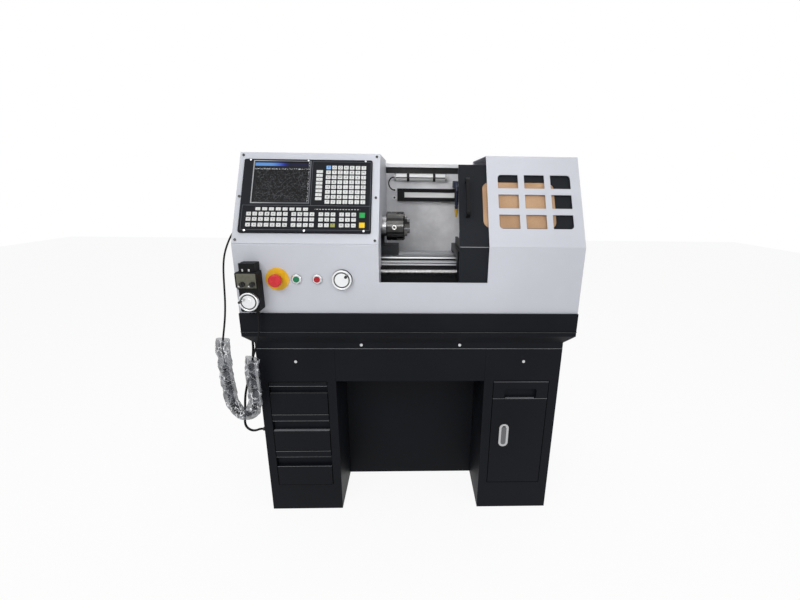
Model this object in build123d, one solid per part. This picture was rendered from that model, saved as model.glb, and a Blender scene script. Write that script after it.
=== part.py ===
"""Small CNC lathe in a folded sheet enclosure on a two-pedestal stand.

Lengths are millimetres. Everything is modelled with depth zero at the enclosure's front sheet,
depth growing towards the back, and save() then moves it so that the origin lies on the floor
under the middle of the machine: X to the right, Y to the back, Z up.
"""
import math
import os

from build123d import *

os.makedirs("parts", exist_ok=True)

# Stand, pan and enclosure
stand_side_inset = 29
stand_height = 663
stand_inset = 18
stand_sheet = 2
pan_height = 131
enclosure_width = 1100
enclosure_depth = 430
enclosure_height = 496
slope_rise = 278
slant_setback = 148
sheet = 2
control_bay_width = 449
door_bay_share = 0.2773
sill_rise = 102

# Lathe
spindle_depth = 200
centre_height = 100
bed_clearance = 346
bed_height = 140
bed_width = 178
chuck_radius = 50
chuck_length = 61
bar_radius = 10.5

# Fits and cuts
overrun = 5
running_gap = 0.3
shaft_gap = 0.05

# Places worked out from those sizes
half_width = enclosure_width / 2
stand_half = half_width - stand_side_inset
stand_depth = enclosure_depth - 2 * stand_inset
stand_back = stand_inset + stand_depth
pan_top = stand_height + pan_height
enclosure_top = pan_top + enclosure_height
fold_z = enclosure_top - slope_rise
slant_angle = math.degrees(math.atan2(slant_setback, enclosure_top - fold_z))
slant_length = math.hypot(slant_setback, enclosure_top - fold_z)
work_left = control_bay_width - half_width
door_bay_width = enclosure_width * door_bay_share
work_right = half_width - door_bay_width
sill_top = pan_top + sill_rise
pan_floor_top = stand_height + sheet
bed_floor = pan_floor_top + enclosure_height - bed_clearance
way_top = bed_floor + bed_height
spindle_z = way_top + centre_height
bed_front = spindle_depth - bed_width / 2
bed_back = spindle_depth + bed_width / 2

# Pendant reach decides how far forward the whole machine extends
pendant_gap = 3
pendant_depth = 42
pendant_wheel_gap = 1
pendant_wheel_thick = 12
pendant_peg_length = 14
pendant_face = -(pendant_gap + pendant_depth)
pendant_reach = -pendant_face + pendant_wheel_gap + pendant_wheel_thick + pendant_peg_length
pan_reach = 8
front_y = (pendant_reach - enclosure_depth - pan_reach) / 2

low = (Align.MIN, Align.MIN, Align.MIN)
slant = Plane(
    origin=(0, 0, fold_z),
    x_dir=(1, 0, 0),
    z_dir=(0, -math.cos(math.radians(slant_angle)), math.sin(math.radians(slant_angle))),
)


def save(node, shape):
    """Write one piece, moved so that the floor's middle is the origin."""
    export_step(Pos(0, front_y, 0) * shape, f"parts/{node}.step")


def block(x_low, x_high, y_low, y_high, z_low, z_high):
    """A box between two corners, with y as depth behind the front sheet."""
    size = Box(x_high - x_low, y_high - y_low, z_high - z_low, align=low)
    return Pos(x_low, y_low, z_low) * size


def slant_block(x_low, x_high, s_low, s_high, n_low, n_high):
    """A box on the sloping front: s runs up the slope and n stands out from it."""
    size = Box(x_high - x_low, s_high - s_low, n_high - n_low, align=low)
    return slant * Pos(x_low, s_low, n_low) * size


def slant_peg(x, s, n_low, n_high, radius):
    """A round peg that stands on the sloping front."""
    peg = Cylinder(radius, n_high - n_low, align=(Align.CENTER, Align.CENTER, Align.MIN))
    return slant * Pos(x, s, n_low) * peg


def rod_x(x_low, x_high, y, z, radius):
    """A round bar along X."""
    bar = Cylinder(radius, x_high - x_low, align=(Align.CENTER, Align.CENTER, Align.MIN))
    return Pos(x_low, y, z) * Rot(0, 90, 0) * bar


def rod_y(x, y_low, y_high, z, radius):
    """A round bar along Y."""
    bar = Cylinder(radius, y_high - y_low, align=(Align.CENTER, Align.CENTER, Align.MIN))
    return Pos(x, y_low, z) * Rot(-90, 0, 0) * bar


def rod_z(x, y, z_low, z_high, radius):
    """A round bar along Z."""
    bar = Cylinder(radius, z_high - z_low, align=(Align.CENTER, Align.CENTER, Align.MIN))
    return Pos(x, y, z_low) * bar


def prism_x(points, x_low, x_high):
    """A profile of (depth, height) points drawn out along X."""
    face = Plane.YZ.offset(x_low) * Polygon(*points, align=None)
    return extrude(face, amount=x_high - x_low, dir=(1, 0, 0))


def prism_y(points, y_low, y_high):
    """A profile of (x, height) points drawn out along Y."""
    face = Plane.XZ.offset(-y_low) * Polygon(*points, align=None)
    return extrude(face, amount=y_high - y_low, dir=(0, 1, 0))


def fold_point(inset):
    """Where the upright front and the slope meet, set in by a distance."""
    half_turn = math.radians(slant_angle / 2)
    return (inset, fold_z - inset * math.tan(half_turn))


def slope_point(s, inset):
    """A point at s up the slope, set in by a distance."""
    turn = math.radians(slant_angle)
    depth = s * math.sin(turn) + inset * math.cos(turn)
    return (depth, fold_z + s * math.cos(turn) - inset * math.sin(turn))


def slope_at_height(height, inset):
    """The point of the set-in slope at a given height."""
    turn = math.radians(slant_angle)
    return slope_point((height - fold_z + inset * math.sin(turn)) / math.cos(turn), inset)


def enclosure_profile(inset, floor):
    """Side outline of the enclosure, set in by a distance and open to the floor given."""
    roof = enclosure_top - inset
    back = enclosure_depth - inset
    return [(inset, floor), fold_point(inset), slope_at_height(roof, inset), (back, roof), (back, floor)]


# Stand pedestals
# Two folded sheet boxes. Each has a bay in front with a return all round it; the left one carries
# three pairs of drawer runners and the right one the two pivot pins of its door.
pedestal_width = 263
bay_return = 16
bay_gap = 2.5
drawer_front_width = 198
drawer_bay_drop = 125.5
drawer_bay_low = 109.5
drawer_shares = (41, 49, 49)
drawer_seam = 3
drawer_names = ("drawer_upper", "drawer_middle", "drawer_lower")
drawer_tray_drop = 12
drawer_tray_inset = 10
drawer_length = 330
runner_overlap = 8
runner_start = 30
door_leaf_width = 194
door_leaf_drop = 125
door_leaf_low = 115
pivot_inset = 4
pivot_radius = 2
pivot_length = 10

knee_half = stand_half - pedestal_width
drawer_centre_x = -(stand_half + knee_half) / 2
door_centre_x = -drawer_centre_x
drawer_bay_top = stand_height - drawer_bay_drop
drawer_stack = drawer_bay_top - drawer_bay_low - 2 * bay_gap - 2 * drawer_seam
drawer_front_heights = [drawer_stack * share / sum(drawer_shares) for share in drawer_shares]
drawer_left = drawer_centre_x - drawer_front_width / 2
drawer_right = drawer_centre_x + drawer_front_width / 2
door_left = door_centre_x - door_leaf_width / 2
door_right = door_centre_x + door_leaf_width / 2
door_leaf_top = stand_height - door_leaf_drop
pivot_x = door_right - pivot_inset
pivot_depth = stand_inset + pivot_inset


def drawer_base(index):
    """Lower edge of a drawer's front, counted from the top of the stack."""
    above = sum(drawer_front_heights[: index + 1]) + index * drawer_seam
    return drawer_bay_top - bay_gap - above


def pedestal(x_low, x_high, bay_left, bay_right, bay_low, bay_top):
    """A hollow box with a framed bay in its front."""
    t = stand_sheet
    bay_back = stand_inset + bay_return
    shell = block(x_low, x_high, stand_inset, stand_back, 0, stand_height)
    shell -= block(x_low + t, x_high - t, stand_inset + t, stand_back - t, t, stand_height - t)
    shell += block(bay_left - t, bay_right + t, stand_inset, bay_back, bay_low - t, bay_top + t)
    shell -= block(bay_left, bay_right, stand_inset - overrun, bay_back + overrun, bay_low, bay_top)
    return shell


left_pedestal = pedestal(
    -stand_half, -knee_half, drawer_left - bay_gap, drawer_right + bay_gap, drawer_bay_low, drawer_bay_top
)
runner_back = stand_back - stand_sheet
for index in range(len(drawer_names)):
    runner_top = drawer_base(index) + drawer_tray_drop - running_gap
    for wall, tray_side, inward in (
        (-stand_half + stand_sheet, drawer_left + drawer_tray_inset, 1),
        (-knee_half - stand_sheet, drawer_right - drawer_tray_inset, -1),
    ):
        edge = tray_side + inward * runner_overlap
        span = sorted((wall, edge))
        left_pedestal += block(
            span[0], span[1], stand_inset + runner_start, runner_back, runner_top - stand_sheet, runner_top
        )

right_pedestal = pedestal(
    knee_half, stand_half, door_left - bay_gap, door_right + bay_gap,
    door_leaf_low - bay_gap, door_leaf_top + bay_gap,
)
for pin_low in (door_leaf_low - bay_gap, door_leaf_top - pivot_length):
    right_pedestal += rod_z(pivot_x, pivot_depth, pin_low, pin_low + pivot_length + bay_gap, pivot_radius)
save("right_pedestal", right_pedestal)


# Bridge between the pedestals
# A folded apron with a top and a back, and the panel that closes the knee space behind it.
knee_height = 540
knee_depth = 197
apron_return = 25

bridge = block(-knee_half, knee_half, stand_inset, stand_back, knee_height, stand_height)
bridge -= block(
    -knee_half - overrun, knee_half + overrun, stand_inset + stand_sheet, stand_back - stand_sheet,
    knee_height - overrun, stand_height - stand_sheet,
)
bridge += block(
    -knee_half, knee_half, stand_inset, stand_inset + apron_return, knee_height,
    knee_height + stand_sheet,
)
panel_depth = stand_inset + knee_depth
bridge += block(-knee_half, knee_half, panel_depth, panel_depth + stand_sheet, 0, stand_height - stand_sheet)
save("stand_bridge", bridge)


# Drawers
# A folded tray behind a front whose sheet is rolled in to a full-width finger grip.
drawer_top_strips = (16, 26, 26)
drawer_grips = (26, 39, 39)
grip_depth = 14
front_proud = 1
tray_height_share = 0.62

for index, name in enumerate(drawer_names):
    base = drawer_base(index)
    top = base + drawer_front_heights[index]
    grip_top = top - drawer_top_strips[index]
    grip_low = grip_top - drawer_grips[index]
    face = stand_inset - front_proud
    back = face + stand_sheet
    t = stand_sheet
    outline = [
        (face, base), (face, grip_low), (face + grip_depth, grip_low), (face + grip_depth, grip_top),
        (face, grip_top), (face, top), (back, top), (back, grip_top + t),
        (face + grip_depth + t, grip_top + t), (face + grip_depth + t, grip_low - t),
        (back, grip_low - t), (back, base),
    ]
    drawer = prism_x(outline, drawer_left, drawer_right)
    tray_left = drawer_left + drawer_tray_inset
    tray_right = drawer_right - drawer_tray_inset
    tray_low = base + drawer_tray_drop
    tray_top = tray_low + drawer_front_heights[index] * tray_height_share
    tray_back = back + drawer_length
    tray = block(tray_left, tray_right, back, tray_back, tray_low, tray_top)
    tray -= block(
        tray_left + t, tray_right - t, back - overrun, tray_back - t, tray_low + t,
        tray_top + overrun,
    )
    drawer += tray
    drawer -= block(
        drawer_left - overrun, drawer_right + overrun, face - overrun, face + grip_depth, grip_low, grip_top
    )
    save(name, drawer)


# Cabinet door and its latch
# A folded leaf with a pressed finger cup, turning on two pivot pins at its right edge. The latch
# is a plated oblong body through the leaf with a paddle that is pulled out by its lower end.
leaf_return = 14
cup_width = 114
cup_height = 38
cup_depth = 14
cup_drop = 49
cup_radius = 8
boss_size = 8
latch_inset = 47.5
latch_drop = 4.5
latch_width = 34
latch_height = 93
latch_proud = 4
latch_body_depth = 22
latch_wall = 4
latch_pocket_depth = 10
paddle_thick = 4
paddle_pin_radius = 1.5
paddle_pin_drop = 9
paddle_barrel_radius = 3.5

cup_centre_z = door_leaf_top - cup_drop
latch_x = door_left + latch_inset
latch_z = (door_leaf_low + door_leaf_top) / 2 - latch_drop
leaf_face = stand_inset
t = stand_sheet
leaf = block(door_left, door_right, leaf_face, leaf_face + leaf_return, door_leaf_low, door_leaf_top)
leaf -= block(
    door_left + t, door_right - t, leaf_face + t, leaf_face + leaf_return + overrun,
    door_leaf_low + t, door_leaf_top - t,
)
cup_face = Pos(door_centre_x, cup_centre_z) * RectangleRounded(cup_width, cup_height, cup_radius)
cup_plane = Plane(origin=(0, leaf_face, 0), x_dir=(1, 0, 0), z_dir=(0, -1, 0))
leaf += extrude(cup_plane * offset(cup_face, amount=t), amount=-cup_depth - t)
leaf -= extrude(cup_plane * cup_face, amount=-cup_depth)
for boss_low in (door_leaf_low, door_leaf_top - pivot_length - t):
    leaf += block(
        door_right - boss_size, door_right, leaf_face, leaf_face + boss_size,
        boss_low, boss_low + pivot_length + t,
    )
for pin_low in (door_leaf_low - overrun, door_leaf_top - pivot_length - running_gap):
    leaf -= rod_z(
        pivot_x, pivot_depth, pin_low, pin_low + pivot_length + overrun + running_gap,
        pivot_radius + shaft_gap,
    )
latch_face = Pos(latch_x, latch_z) * Rot(0, 0, 90) * SlotOverall(latch_height, latch_width)
latch_hole = offset(latch_face, amount=-latch_wall)
leaf -= extrude(cup_plane * latch_hole, amount=-leaf_return - overrun)
save("cabinet_door", leaf)

latch_front = leaf_face - latch_proud
latch_plane = Plane(origin=(0, latch_front, 0), x_dir=(1, 0, 0), z_dir=(0, -1, 0))
latch_barrel = offset(latch_face, amount=-latch_wall - shaft_gap)
latch_pocket = offset(latch_face, amount=-2 * latch_wall)
latch = extrude(latch_plane * latch_face, amount=-latch_proud)
latch += extrude(cup_plane * latch_barrel, amount=-latch_body_depth)
latch -= extrude(latch_plane * latch_pocket, amount=-latch_pocket_depth)
pocket_half = latch_width / 2 - 2 * latch_wall
pin_z = latch_z + latch_height / 2 - 2 * latch_wall - paddle_pin_drop
pin_depth = latch_front + paddle_barrel_radius
latch += rod_x(
    latch_x - pocket_half - latch_wall / 2, latch_x + pocket_half + latch_wall / 2, pin_depth,
    pin_z, paddle_pin_radius,
)
save("latch_body", latch)

paddle_face = offset(latch_pocket, amount=-2 * running_gap)
paddle = extrude(latch_plane * paddle_face, amount=-paddle_thick)
barrel_half = pocket_half - latch_wall
paddle -= block(
    latch_x - latch_width, latch_x + latch_width, latch_front - overrun, latch_front + latch_pocket_depth,
    pin_z, latch_z + latch_height,
)
paddle += rod_x(latch_x - barrel_half, latch_x + barrel_half, pin_depth, pin_z, paddle_barrel_radius)
paddle -= rod_x(
    latch_x - latch_width, latch_x + latch_width, pin_depth, pin_z, paddle_pin_radius + shaft_gap
)
save("latch_paddle", paddle)


# Chip pan
# A deep welded pan that tapers in at the bottom to stand on the pedestals, with a rolled bead
# round its wall and a flat rim that carries the enclosure.
pan_base_height = 21
pan_taper_height = 32
pan_rim_width = 22
bead_height = 15
bead_size = 3
grommet_inset = 14
grommet_depth = 40
grommet_radius = 7
grommet_length = 26


def pan_solid(inset, floor, roof):
    """The pan's form set in by a distance: a base, a taper and an upright band."""
    base_top = stand_height + pan_base_height
    band_low = base_top + pan_taper_height
    base = block(
        inset - stand_half, stand_half - inset, stand_inset + inset, stand_back - inset, floor, base_top
    )
    band = block(
        inset - half_width, half_width - inset, inset - pan_reach, enclosure_depth + pan_reach - inset,
        band_low, roof,
    )
    lower = base.faces().sort_by(Axis.Z)[-1]
    upper = band.faces().sort_by(Axis.Z)[0]
    return base + loft([lower, upper]) + band


bead_z = stand_height + pan_base_height + pan_taper_height + bead_height
pan = pan_solid(0, stand_height, pan_top)
pan += block(
    -half_width, half_width, -pan_reach - bead_size, enclosure_depth + pan_reach, bead_z, bead_z + bead_size
)
pan -= pan_solid(sheet, pan_floor_top, pan_top - sheet)
pan -= block(
    pan_rim_width - half_width, half_width - pan_rim_width,
    pan_rim_width - pan_reach, enclosure_depth + pan_reach - pan_rim_width, pan_top - 2 * sheet,
    pan_top + overrun,
)
grommet_x = grommet_inset - half_width
grommet_low = stand_height + pan_base_height + sheet
pan -= rod_z(grommet_x, grommet_depth, grommet_low, grommet_low + grommet_length, grommet_radius + shaft_gap)
save("chip_tray", pan)


# Enclosure housings
# Folded light sheet. The left housing is closed by the control plate in front and a cover at the
# back; the right one has a three by three grid of look-through openings and takes in the door.
plate_rim = 20
axis_hole_radius = 40
bed_notch_gap = 8
screw_notch = 36
cover_width = 320
cover_inset = 225
cover_rise = 66
cover_drop = 100
cover_lap = 14
grid_columns = 3
grid_rows = 3
grid_inset = 35
grid_edge = 32
grid_cell_height = 48
grid_gap_x = 20
grid_gap_s = 21.5
grid_low = 61
grid_corner = 12
grid_small_corner = 2
socket_depth = 190
socket_rise = 251
socket_radius = 11

estop_inset = 131
start_inset = 190.5
stop_inset = 255
jog_inset = 333.5
controls_lift = 3
barrel_radius = 11

z_screw_radius = 8
z_screw_setoff = 20
z_screw_drop = 43

cover_height = enclosure_height - cover_rise - cover_drop
cover_centre_x = cover_inset - half_width
cover_low = pan_top + cover_rise
grid_left = work_right + grid_inset
grid_gaps_x = (grid_columns - 1) * grid_gap_x
grid_cell_width = (door_bay_width - grid_inset - grid_edge - grid_gaps_x) / grid_columns
socket_z = pan_top + socket_rise
estop_x = estop_inset - half_width
start_x = start_inset - half_width
stop_x = stop_inset - half_width
jog_x = jog_inset - half_width
controls_z = (pan_top + fold_z) / 2 + controls_lift
z_screw_depth = bed_front - z_screw_setoff
z_screw_z = way_top - z_screw_drop

left_housing = prism_x(enclosure_profile(0, pan_top), -half_width, work_left)
left_housing -= prism_x(enclosure_profile(sheet, pan_top - overrun), sheet - half_width, work_left - sheet)
left_housing -= slant_block(
    plate_rim - half_width, work_left - plate_rim, plate_rim, slant_length - plate_rim, -overrun, overrun
)
for hole_x in (estop_x, start_x, stop_x, jog_x):
    left_housing -= rod_y(hole_x, -overrun, overrun, controls_z, barrel_radius + shaft_gap)
wall_out = work_left + overrun
wall_in = work_left - sheet - overrun
left_housing -= rod_x(wall_in, wall_out, spindle_depth, spindle_z, axis_hole_radius)
left_housing -= block(
    wall_in, wall_out, bed_front - bed_notch_gap, bed_back + bed_notch_gap, pan_top - overrun, spindle_z
)
left_housing -= block(
    wall_in, wall_out, z_screw_depth - screw_notch / 2, bed_front, pan_top - overrun,
    z_screw_z + screw_notch / 2,
)
left_housing -= block(
    cover_centre_x - cover_width / 2, cover_centre_x + cover_width / 2,
    enclosure_depth - sheet - overrun, enclosure_depth + overrun, cover_low, cover_low + cover_height,
)
left_housing -= rod_x(
    -half_width - overrun, sheet + overrun - half_width, socket_depth, socket_z, socket_radius + shaft_gap
)
save("left_housing", left_housing)

right_housing = prism_x(enclosure_profile(0, pan_top), work_right, half_width)
right_housing -= prism_x(
    enclosure_profile(sheet, pan_top - overrun), work_right - overrun, half_width - sheet,
)
grid_width = grid_columns * grid_cell_width + grid_gaps_x
grid_height = grid_rows * grid_cell_height + (grid_rows - 1) * grid_gap_s
grid_outer = Pos(grid_left + grid_width / 2, grid_low + grid_height / 2) * RectangleRounded(
    grid_width, grid_height, grid_corner
)
cells = Sketch()
for column in range(grid_columns):
    for row in range(grid_rows):
        cell_x = grid_left + column * (grid_cell_width + grid_gap_x) + grid_cell_width / 2
        cell_s = grid_low + row * (grid_cell_height + grid_gap_s) + grid_cell_height / 2
        cells += Pos(cell_x, cell_s) * RectangleRounded(grid_cell_width, grid_cell_height, grid_small_corner)
right_housing -= extrude(slant * (cells & grid_outer), amount=overrun, both=True)
save("right_housing", right_housing)

hem = 4
front_sill = block(work_left, work_right, 0, sheet, pan_top, sill_top)
front_sill += block(work_left, work_right, 0, hem, sill_top - hem, sill_top)
save("front_sill", front_sill)

hood_drop = 13
hood_reach = 27
hood_lip = 13
hood_top = enclosure_top - hood_drop
rear_face = enclosure_depth - sheet
rear_wall = block(work_left, work_right, rear_face, enclosure_depth, pan_top, hood_top)
rear_wall += block(work_left, work_right, rear_face - hood_reach, enclosure_depth, hood_top - sheet, hood_top)
rear_wall += block(
    work_left, work_right, rear_face - hood_reach, rear_face - hood_reach + sheet,
    hood_top - hood_lip, hood_top,
)
save("rear_wall", rear_wall)

louvre_rows = 6
louvre_length = 180
louvre_height = 10
louvre_pitch = 26
louvre_rise = 5
louvre_mouth = 1
cover_left = cover_centre_x - cover_width / 2 - cover_lap
cover_right = cover_centre_x + cover_width / 2 + cover_lap
rear_cover = block(
    cover_left, cover_right, enclosure_depth, enclosure_depth + sheet,
    cover_low - cover_lap, cover_low + cover_height + cover_lap,
)
louvre_mid = cover_low + cover_height / 2
for row in range(louvre_rows):
    louvre_z = louvre_mid + (row - (louvre_rows - 1) / 2) * louvre_pitch
    hood = [
        (enclosure_depth + sheet, louvre_z + louvre_height), (enclosure_depth + sheet, louvre_z),
        (enclosure_depth + louvre_rise, louvre_z),
    ]
    rear_cover += prism_x(hood, cover_centre_x - louvre_length / 2, cover_centre_x + louvre_length / 2)
    rear_cover -= block(
        cover_centre_x - louvre_length / 2 + sheet, cover_centre_x + louvre_length / 2 - sheet,
        enclosure_depth - overrun, enclosure_depth + sheet + louvre_mouth, louvre_z - overrun,
        louvre_z + louvre_rise / 2,
    )
save("rear_cover", rear_cover)


# Control plate, bezel, screen and keys
# A plate over the slope carries a moulded bezel with a sunk screen and two key fields.
plate_thick = 2.5
plate_foot = 5
bezel_inset = 18
bezel_end = 24
bezel_low = 38
bezel_height = 250
bezel_proud = 8
bezel_corner = 6
bezel_edge = 2.5
tub_inset = 24
tub_depth = 30
screen_inset = 35
screen_low = 138
screen_width = 174
screen_height = 140
screen_sink = 4
screen_thick = 2
screen_corner = 3
field_sink = 1.5
field_thick = 1
field_split = 129
field_margin = 10
field_seam = 3
key_rise = 1.2
key_corner = 1

bezel_left = bezel_inset - half_width
bezel_right = work_left - bezel_end
bezel_width = bezel_right - bezel_left
screen_left = bezel_left + screen_inset
bezel_top = bezel_low + bezel_height
bezel_mid = (bezel_left + bezel_width / 2, bezel_low + bezel_height / 2)
bezel_face = plate_thick + bezel_proud
control_plate = slant_block(-half_width, work_left, plate_foot, slant_length, 0, plate_thick)
control_plate -= slant_block(
    bezel_left + tub_inset, bezel_right - tub_inset, bezel_low + tub_inset, bezel_top - tub_inset,
    -overrun, plate_thick + overrun,
)
save("control_plate", control_plate)

bezel_outline = Pos(*bezel_mid) * RectangleRounded(bezel_width, bezel_height, bezel_corner)
bezel = extrude(slant.offset(plate_thick) * bezel_outline, amount=bezel_proud)
bezel = chamfer(bezel.faces().sort_by(slant.location.z_axis)[-1].edges(), bezel_edge)
tub_gap = running_gap
bezel += slant_block(
    bezel_left + tub_inset + tub_gap, bezel_right - tub_inset - tub_gap,
    bezel_low + tub_inset + tub_gap, bezel_top - tub_inset - tub_gap, -tub_depth, plate_thick,
)
screen_mid = (screen_left + screen_width / 2, screen_low + screen_height / 2)
screen_outline = Pos(*screen_mid) * RectangleRounded(screen_width, screen_height, screen_corner)
bezel -= extrude(slant.offset(bezel_face - screen_sink) * screen_outline, amount=screen_sink + overrun)
field_left = bezel_left + field_margin
field_right = bezel_right - field_margin
upper_left = screen_left + screen_width + field_margin
lower_field = (field_left, field_right, bezel_low + field_margin, field_split - field_seam)
upper_field = (upper_left, field_right, field_split, bezel_top - field_margin)
for left, right, bottom, top in (lower_field, upper_field):
    bezel -= slant_block(left, right, bottom, top, bezel_face - field_sink, bezel_face + overrun)
save("panel_bezel", bezel)

screen = extrude(
    slant.offset(bezel_face - screen_sink) * offset(screen_outline, amount=-running_gap),
    amount=screen_thick,
)
save("screen", screen)

key_columns = 7
key_rows = 8
key_pitch_x = 18.6
key_pitch_s = 16.9
key_width = 14.5
key_height = 12.5
key_inset = 268.5
key_first_s = 140.6
side_key_rows = 8
side_key_inset = 241
side_key_width = 19.6
side_key_height = 9.8
side_key_pitch = 13.3
side_key_first_s = 151
soft_keys = 8
soft_pitch = 20.9
soft_inset = 57.3
soft_s = 115
soft_width = 14.8
soft_height = 10
operator_rows = (98.5, 81, 62.4)
operator_insets = (30.5, 168.5, 252, 316)
operator_counts = (7, 4, 3, 3)
operator_pitch = 18.7
operator_width = 14
operator_height = 12
cycle_inset = 379.5
cycle_s = (96.5, 63.5)
cycle_size = 17

key_first_x = bezel_left + key_inset
side_key_x = bezel_left + side_key_inset
soft_first_x = bezel_left + soft_inset
cycle_x = bezel_left + cycle_inset


def key(x, s, width, height):
    """One raised key of the film, drawn as a face on the slope."""
    return Pos(x, s) * RectangleRounded(width, height, key_corner)


def field_film(field, keys):
    """A film laid in a sunk field, with its keys domed up."""
    left, right, bottom, top = field
    low_face = bezel_face - field_sink
    film = slant_block(left, right, bottom, top, low_face, low_face + field_thick)
    return film + extrude(slant.offset(low_face + field_thick) * keys, amount=key_rise)


upper_keys = Sketch()
for row in range(key_rows):
    for column in range(key_columns):
        key_x = key_first_x + column * key_pitch_x
        upper_keys += key(key_x, key_first_s + row * key_pitch_s, key_width, key_height)
for row in range(side_key_rows):
    upper_keys += key(side_key_x, side_key_first_s + row * side_key_pitch, side_key_width, side_key_height)
lower_keys = Sketch()
for index in range(soft_keys):
    lower_keys += key(soft_first_x + index * soft_pitch, soft_s, soft_width, soft_height)
for group_inset, count in zip(operator_insets, operator_counts):
    for index in range(count):
        operator_x = bezel_left + group_inset + index * operator_pitch
        for row_s in operator_rows:
            lower_keys += key(operator_x, row_s, operator_width, operator_height)
for row_s in cycle_s:
    lower_keys += key(cycle_x, row_s, cycle_size, cycle_size)
save("keypad", Compound([field_film(upper_field, upper_keys), field_film(lower_field, lower_keys)]))


# Push buttons and jog wheel on the upright front
# Barrels pass through the sheet; the mushroom and the two flush buttons slide in theirs, and the
# jog wheel turns on its encoder behind the sheet.
disc_radius = 36
disc_thick = 3
collar_radius = 15
collar_length = 8
barrel_length = 40
mushroom_radius = 20
mushroom_thick = 15
mushroom_dome = 5
mushroom_stem = 9
mushroom_gap = 7
ring_radius = 16
ring_proud = 6
cap_radius = 9.5
cap_proud = 3
cap_length = 26
jog_radius = 31
jog_thick = 10
jog_gap = 1
jog_base_thick = 5
jog_base_radius = 32
jog_shaft_radius = 4
encoder_radius = 30
encoder_length = 36
jog_peg_reach = 20
jog_peg_radius = 4.5
jog_peg_length = 14
jog_peg_angle = 40
jog_lip = 3

estop_disc = rod_y(estop_x, -disc_thick, 0, controls_z, disc_radius)
estop_disc += rod_y(estop_x, -disc_thick - collar_length, 0, controls_z, collar_radius)
estop_disc += rod_y(estop_x, -disc_thick, barrel_length, controls_z, barrel_radius)
stem_hole = mushroom_stem + running_gap
estop_disc -= rod_y(
    estop_x, -disc_thick - collar_length - overrun, barrel_length - sheet, controls_z, stem_hole,
)
save("estop_disc", estop_disc)

mushroom_base = -disc_thick - collar_length - mushroom_gap
mushroom_top = mushroom_base - mushroom_thick
mushroom = rod_y(estop_x, mushroom_top, mushroom_base, controls_z, mushroom_radius)
mushroom = fillet(mushroom.edges().sort_by(Axis.Y)[0], mushroom_dome)
mushroom += rod_y(estop_x, mushroom_base, barrel_length / 2, controls_z, mushroom_stem)
save("estop_button", mushroom)

bezels = []
for button_x, name in ((start_x, "start_button"), (stop_x, "stop_button")):
    ring = rod_y(button_x, -ring_proud, 0, controls_z, ring_radius)
    ring = chamfer(ring.edges().sort_by(Axis.Y)[0], jog_lip)
    ring += rod_y(button_x, -ring_proud / 2, barrel_length, controls_z, barrel_radius)
    ring -= rod_y(
        button_x, -ring_proud - overrun, barrel_length - sheet, controls_z,
        cap_radius + running_gap,
    )
    bezels.append(ring)
    cap = rod_y(button_x, -ring_proud - cap_proud, cap_length - ring_proud, controls_z, cap_radius)
    cap = chamfer(cap.edges().sort_by(Axis.Y)[0], sheet / 2)
    save(name, cap)
jog_base = rod_y(jog_x, -jog_base_thick, 0, controls_z, jog_base_radius)
jog_base += rod_y(jog_x, -jog_base_thick, sheet, controls_z, barrel_radius)
jog_base += rod_y(jog_x, sheet, sheet + encoder_length, controls_z, encoder_radius)
jog_base -= rod_y(
    jog_x, -jog_base_thick - overrun, encoder_length, controls_z, jog_shaft_radius + shaft_gap
)
bezels.append(jog_base)
save("control_bezels", Compound(bezels))

jog_back = -jog_base_thick - jog_gap


def crank_wheel(
    x, z, back, thick, radius, lip, peg_reach, peg_radius, peg_length, peg_angle, shaft, shaft_end,
):
    """A dished hand wheel with a rim, a hub, a crank peg and a shaft behind it."""
    wheel = rod_y(x, back - thick, back, z, radius)
    wheel = chamfer(wheel.edges().sort_by(Axis.Y)[0], lip / 2)
    wheel -= rod_y(x, back - thick - overrun, back - thick + lip, z, radius - lip)
    wheel += rod_y(x, back - thick + lip / 2, back, z, radius / 3)
    peg_x = x + peg_reach * math.cos(math.radians(peg_angle))
    peg_z = z + peg_reach * math.sin(math.radians(peg_angle))
    wheel += rod_y(peg_x, back - thick - peg_length, back - thick + lip, peg_z, peg_radius)
    return wheel + rod_y(x, back, shaft_end, z, shaft)


save("jog_wheel", crank_wheel(
    jog_x, controls_z, jog_back, jog_thick, jog_radius, jog_lip,
    jog_peg_reach, jog_peg_radius, jog_peg_length, jog_peg_angle, jog_shaft_radius, encoder_length / 2,
))


# Sliding door
# One folded leaf with stiffening returns, a paper-covered clear window behind it and a bow handle.
# Its lower edge runs in a channel behind the sill and its upper edge in one inside the housing.
leaf_setback = 6
door_show = 91
door_end_gap = 20
door_lap = 28
door_drop = 29
door_flange = 12
door_flange_stop = 14
window_inset = 76
window_end = 65
window_low = 65
window_height = 160
window_corner = 25
pane_lap = 8
pane_thick = 3
handle_inset = 26
handle_low = 100
handle_length = 128
handle_width = 12
handle_thick = 10
handle_reach = 30
handle_corner = 14
rail_thick = 2
rail_height = 12
rail_side_gap = 2
rail_end_gap = 2

door_rest_left = work_right - door_show
door_rest_right = half_width - door_end_gap
door_foot = sill_top - door_lap
door_rise = slant_length - door_drop
window_left = door_rest_left + window_inset
window_width = door_rest_right - window_end - window_left
handle_x = door_rest_left + handle_inset
door_back = leaf_setback + sheet


def fold_strip(front, back, foot, rise, x_low, x_high):
    """A strip of sheet folded at the enclosure's fold line."""
    outline = [
        (front, foot), fold_point(front), slope_point(rise, front),
        slope_point(rise, back), fold_point(back), (back, foot),
    ]
    return prism_x(outline, x_low, x_high)


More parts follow.
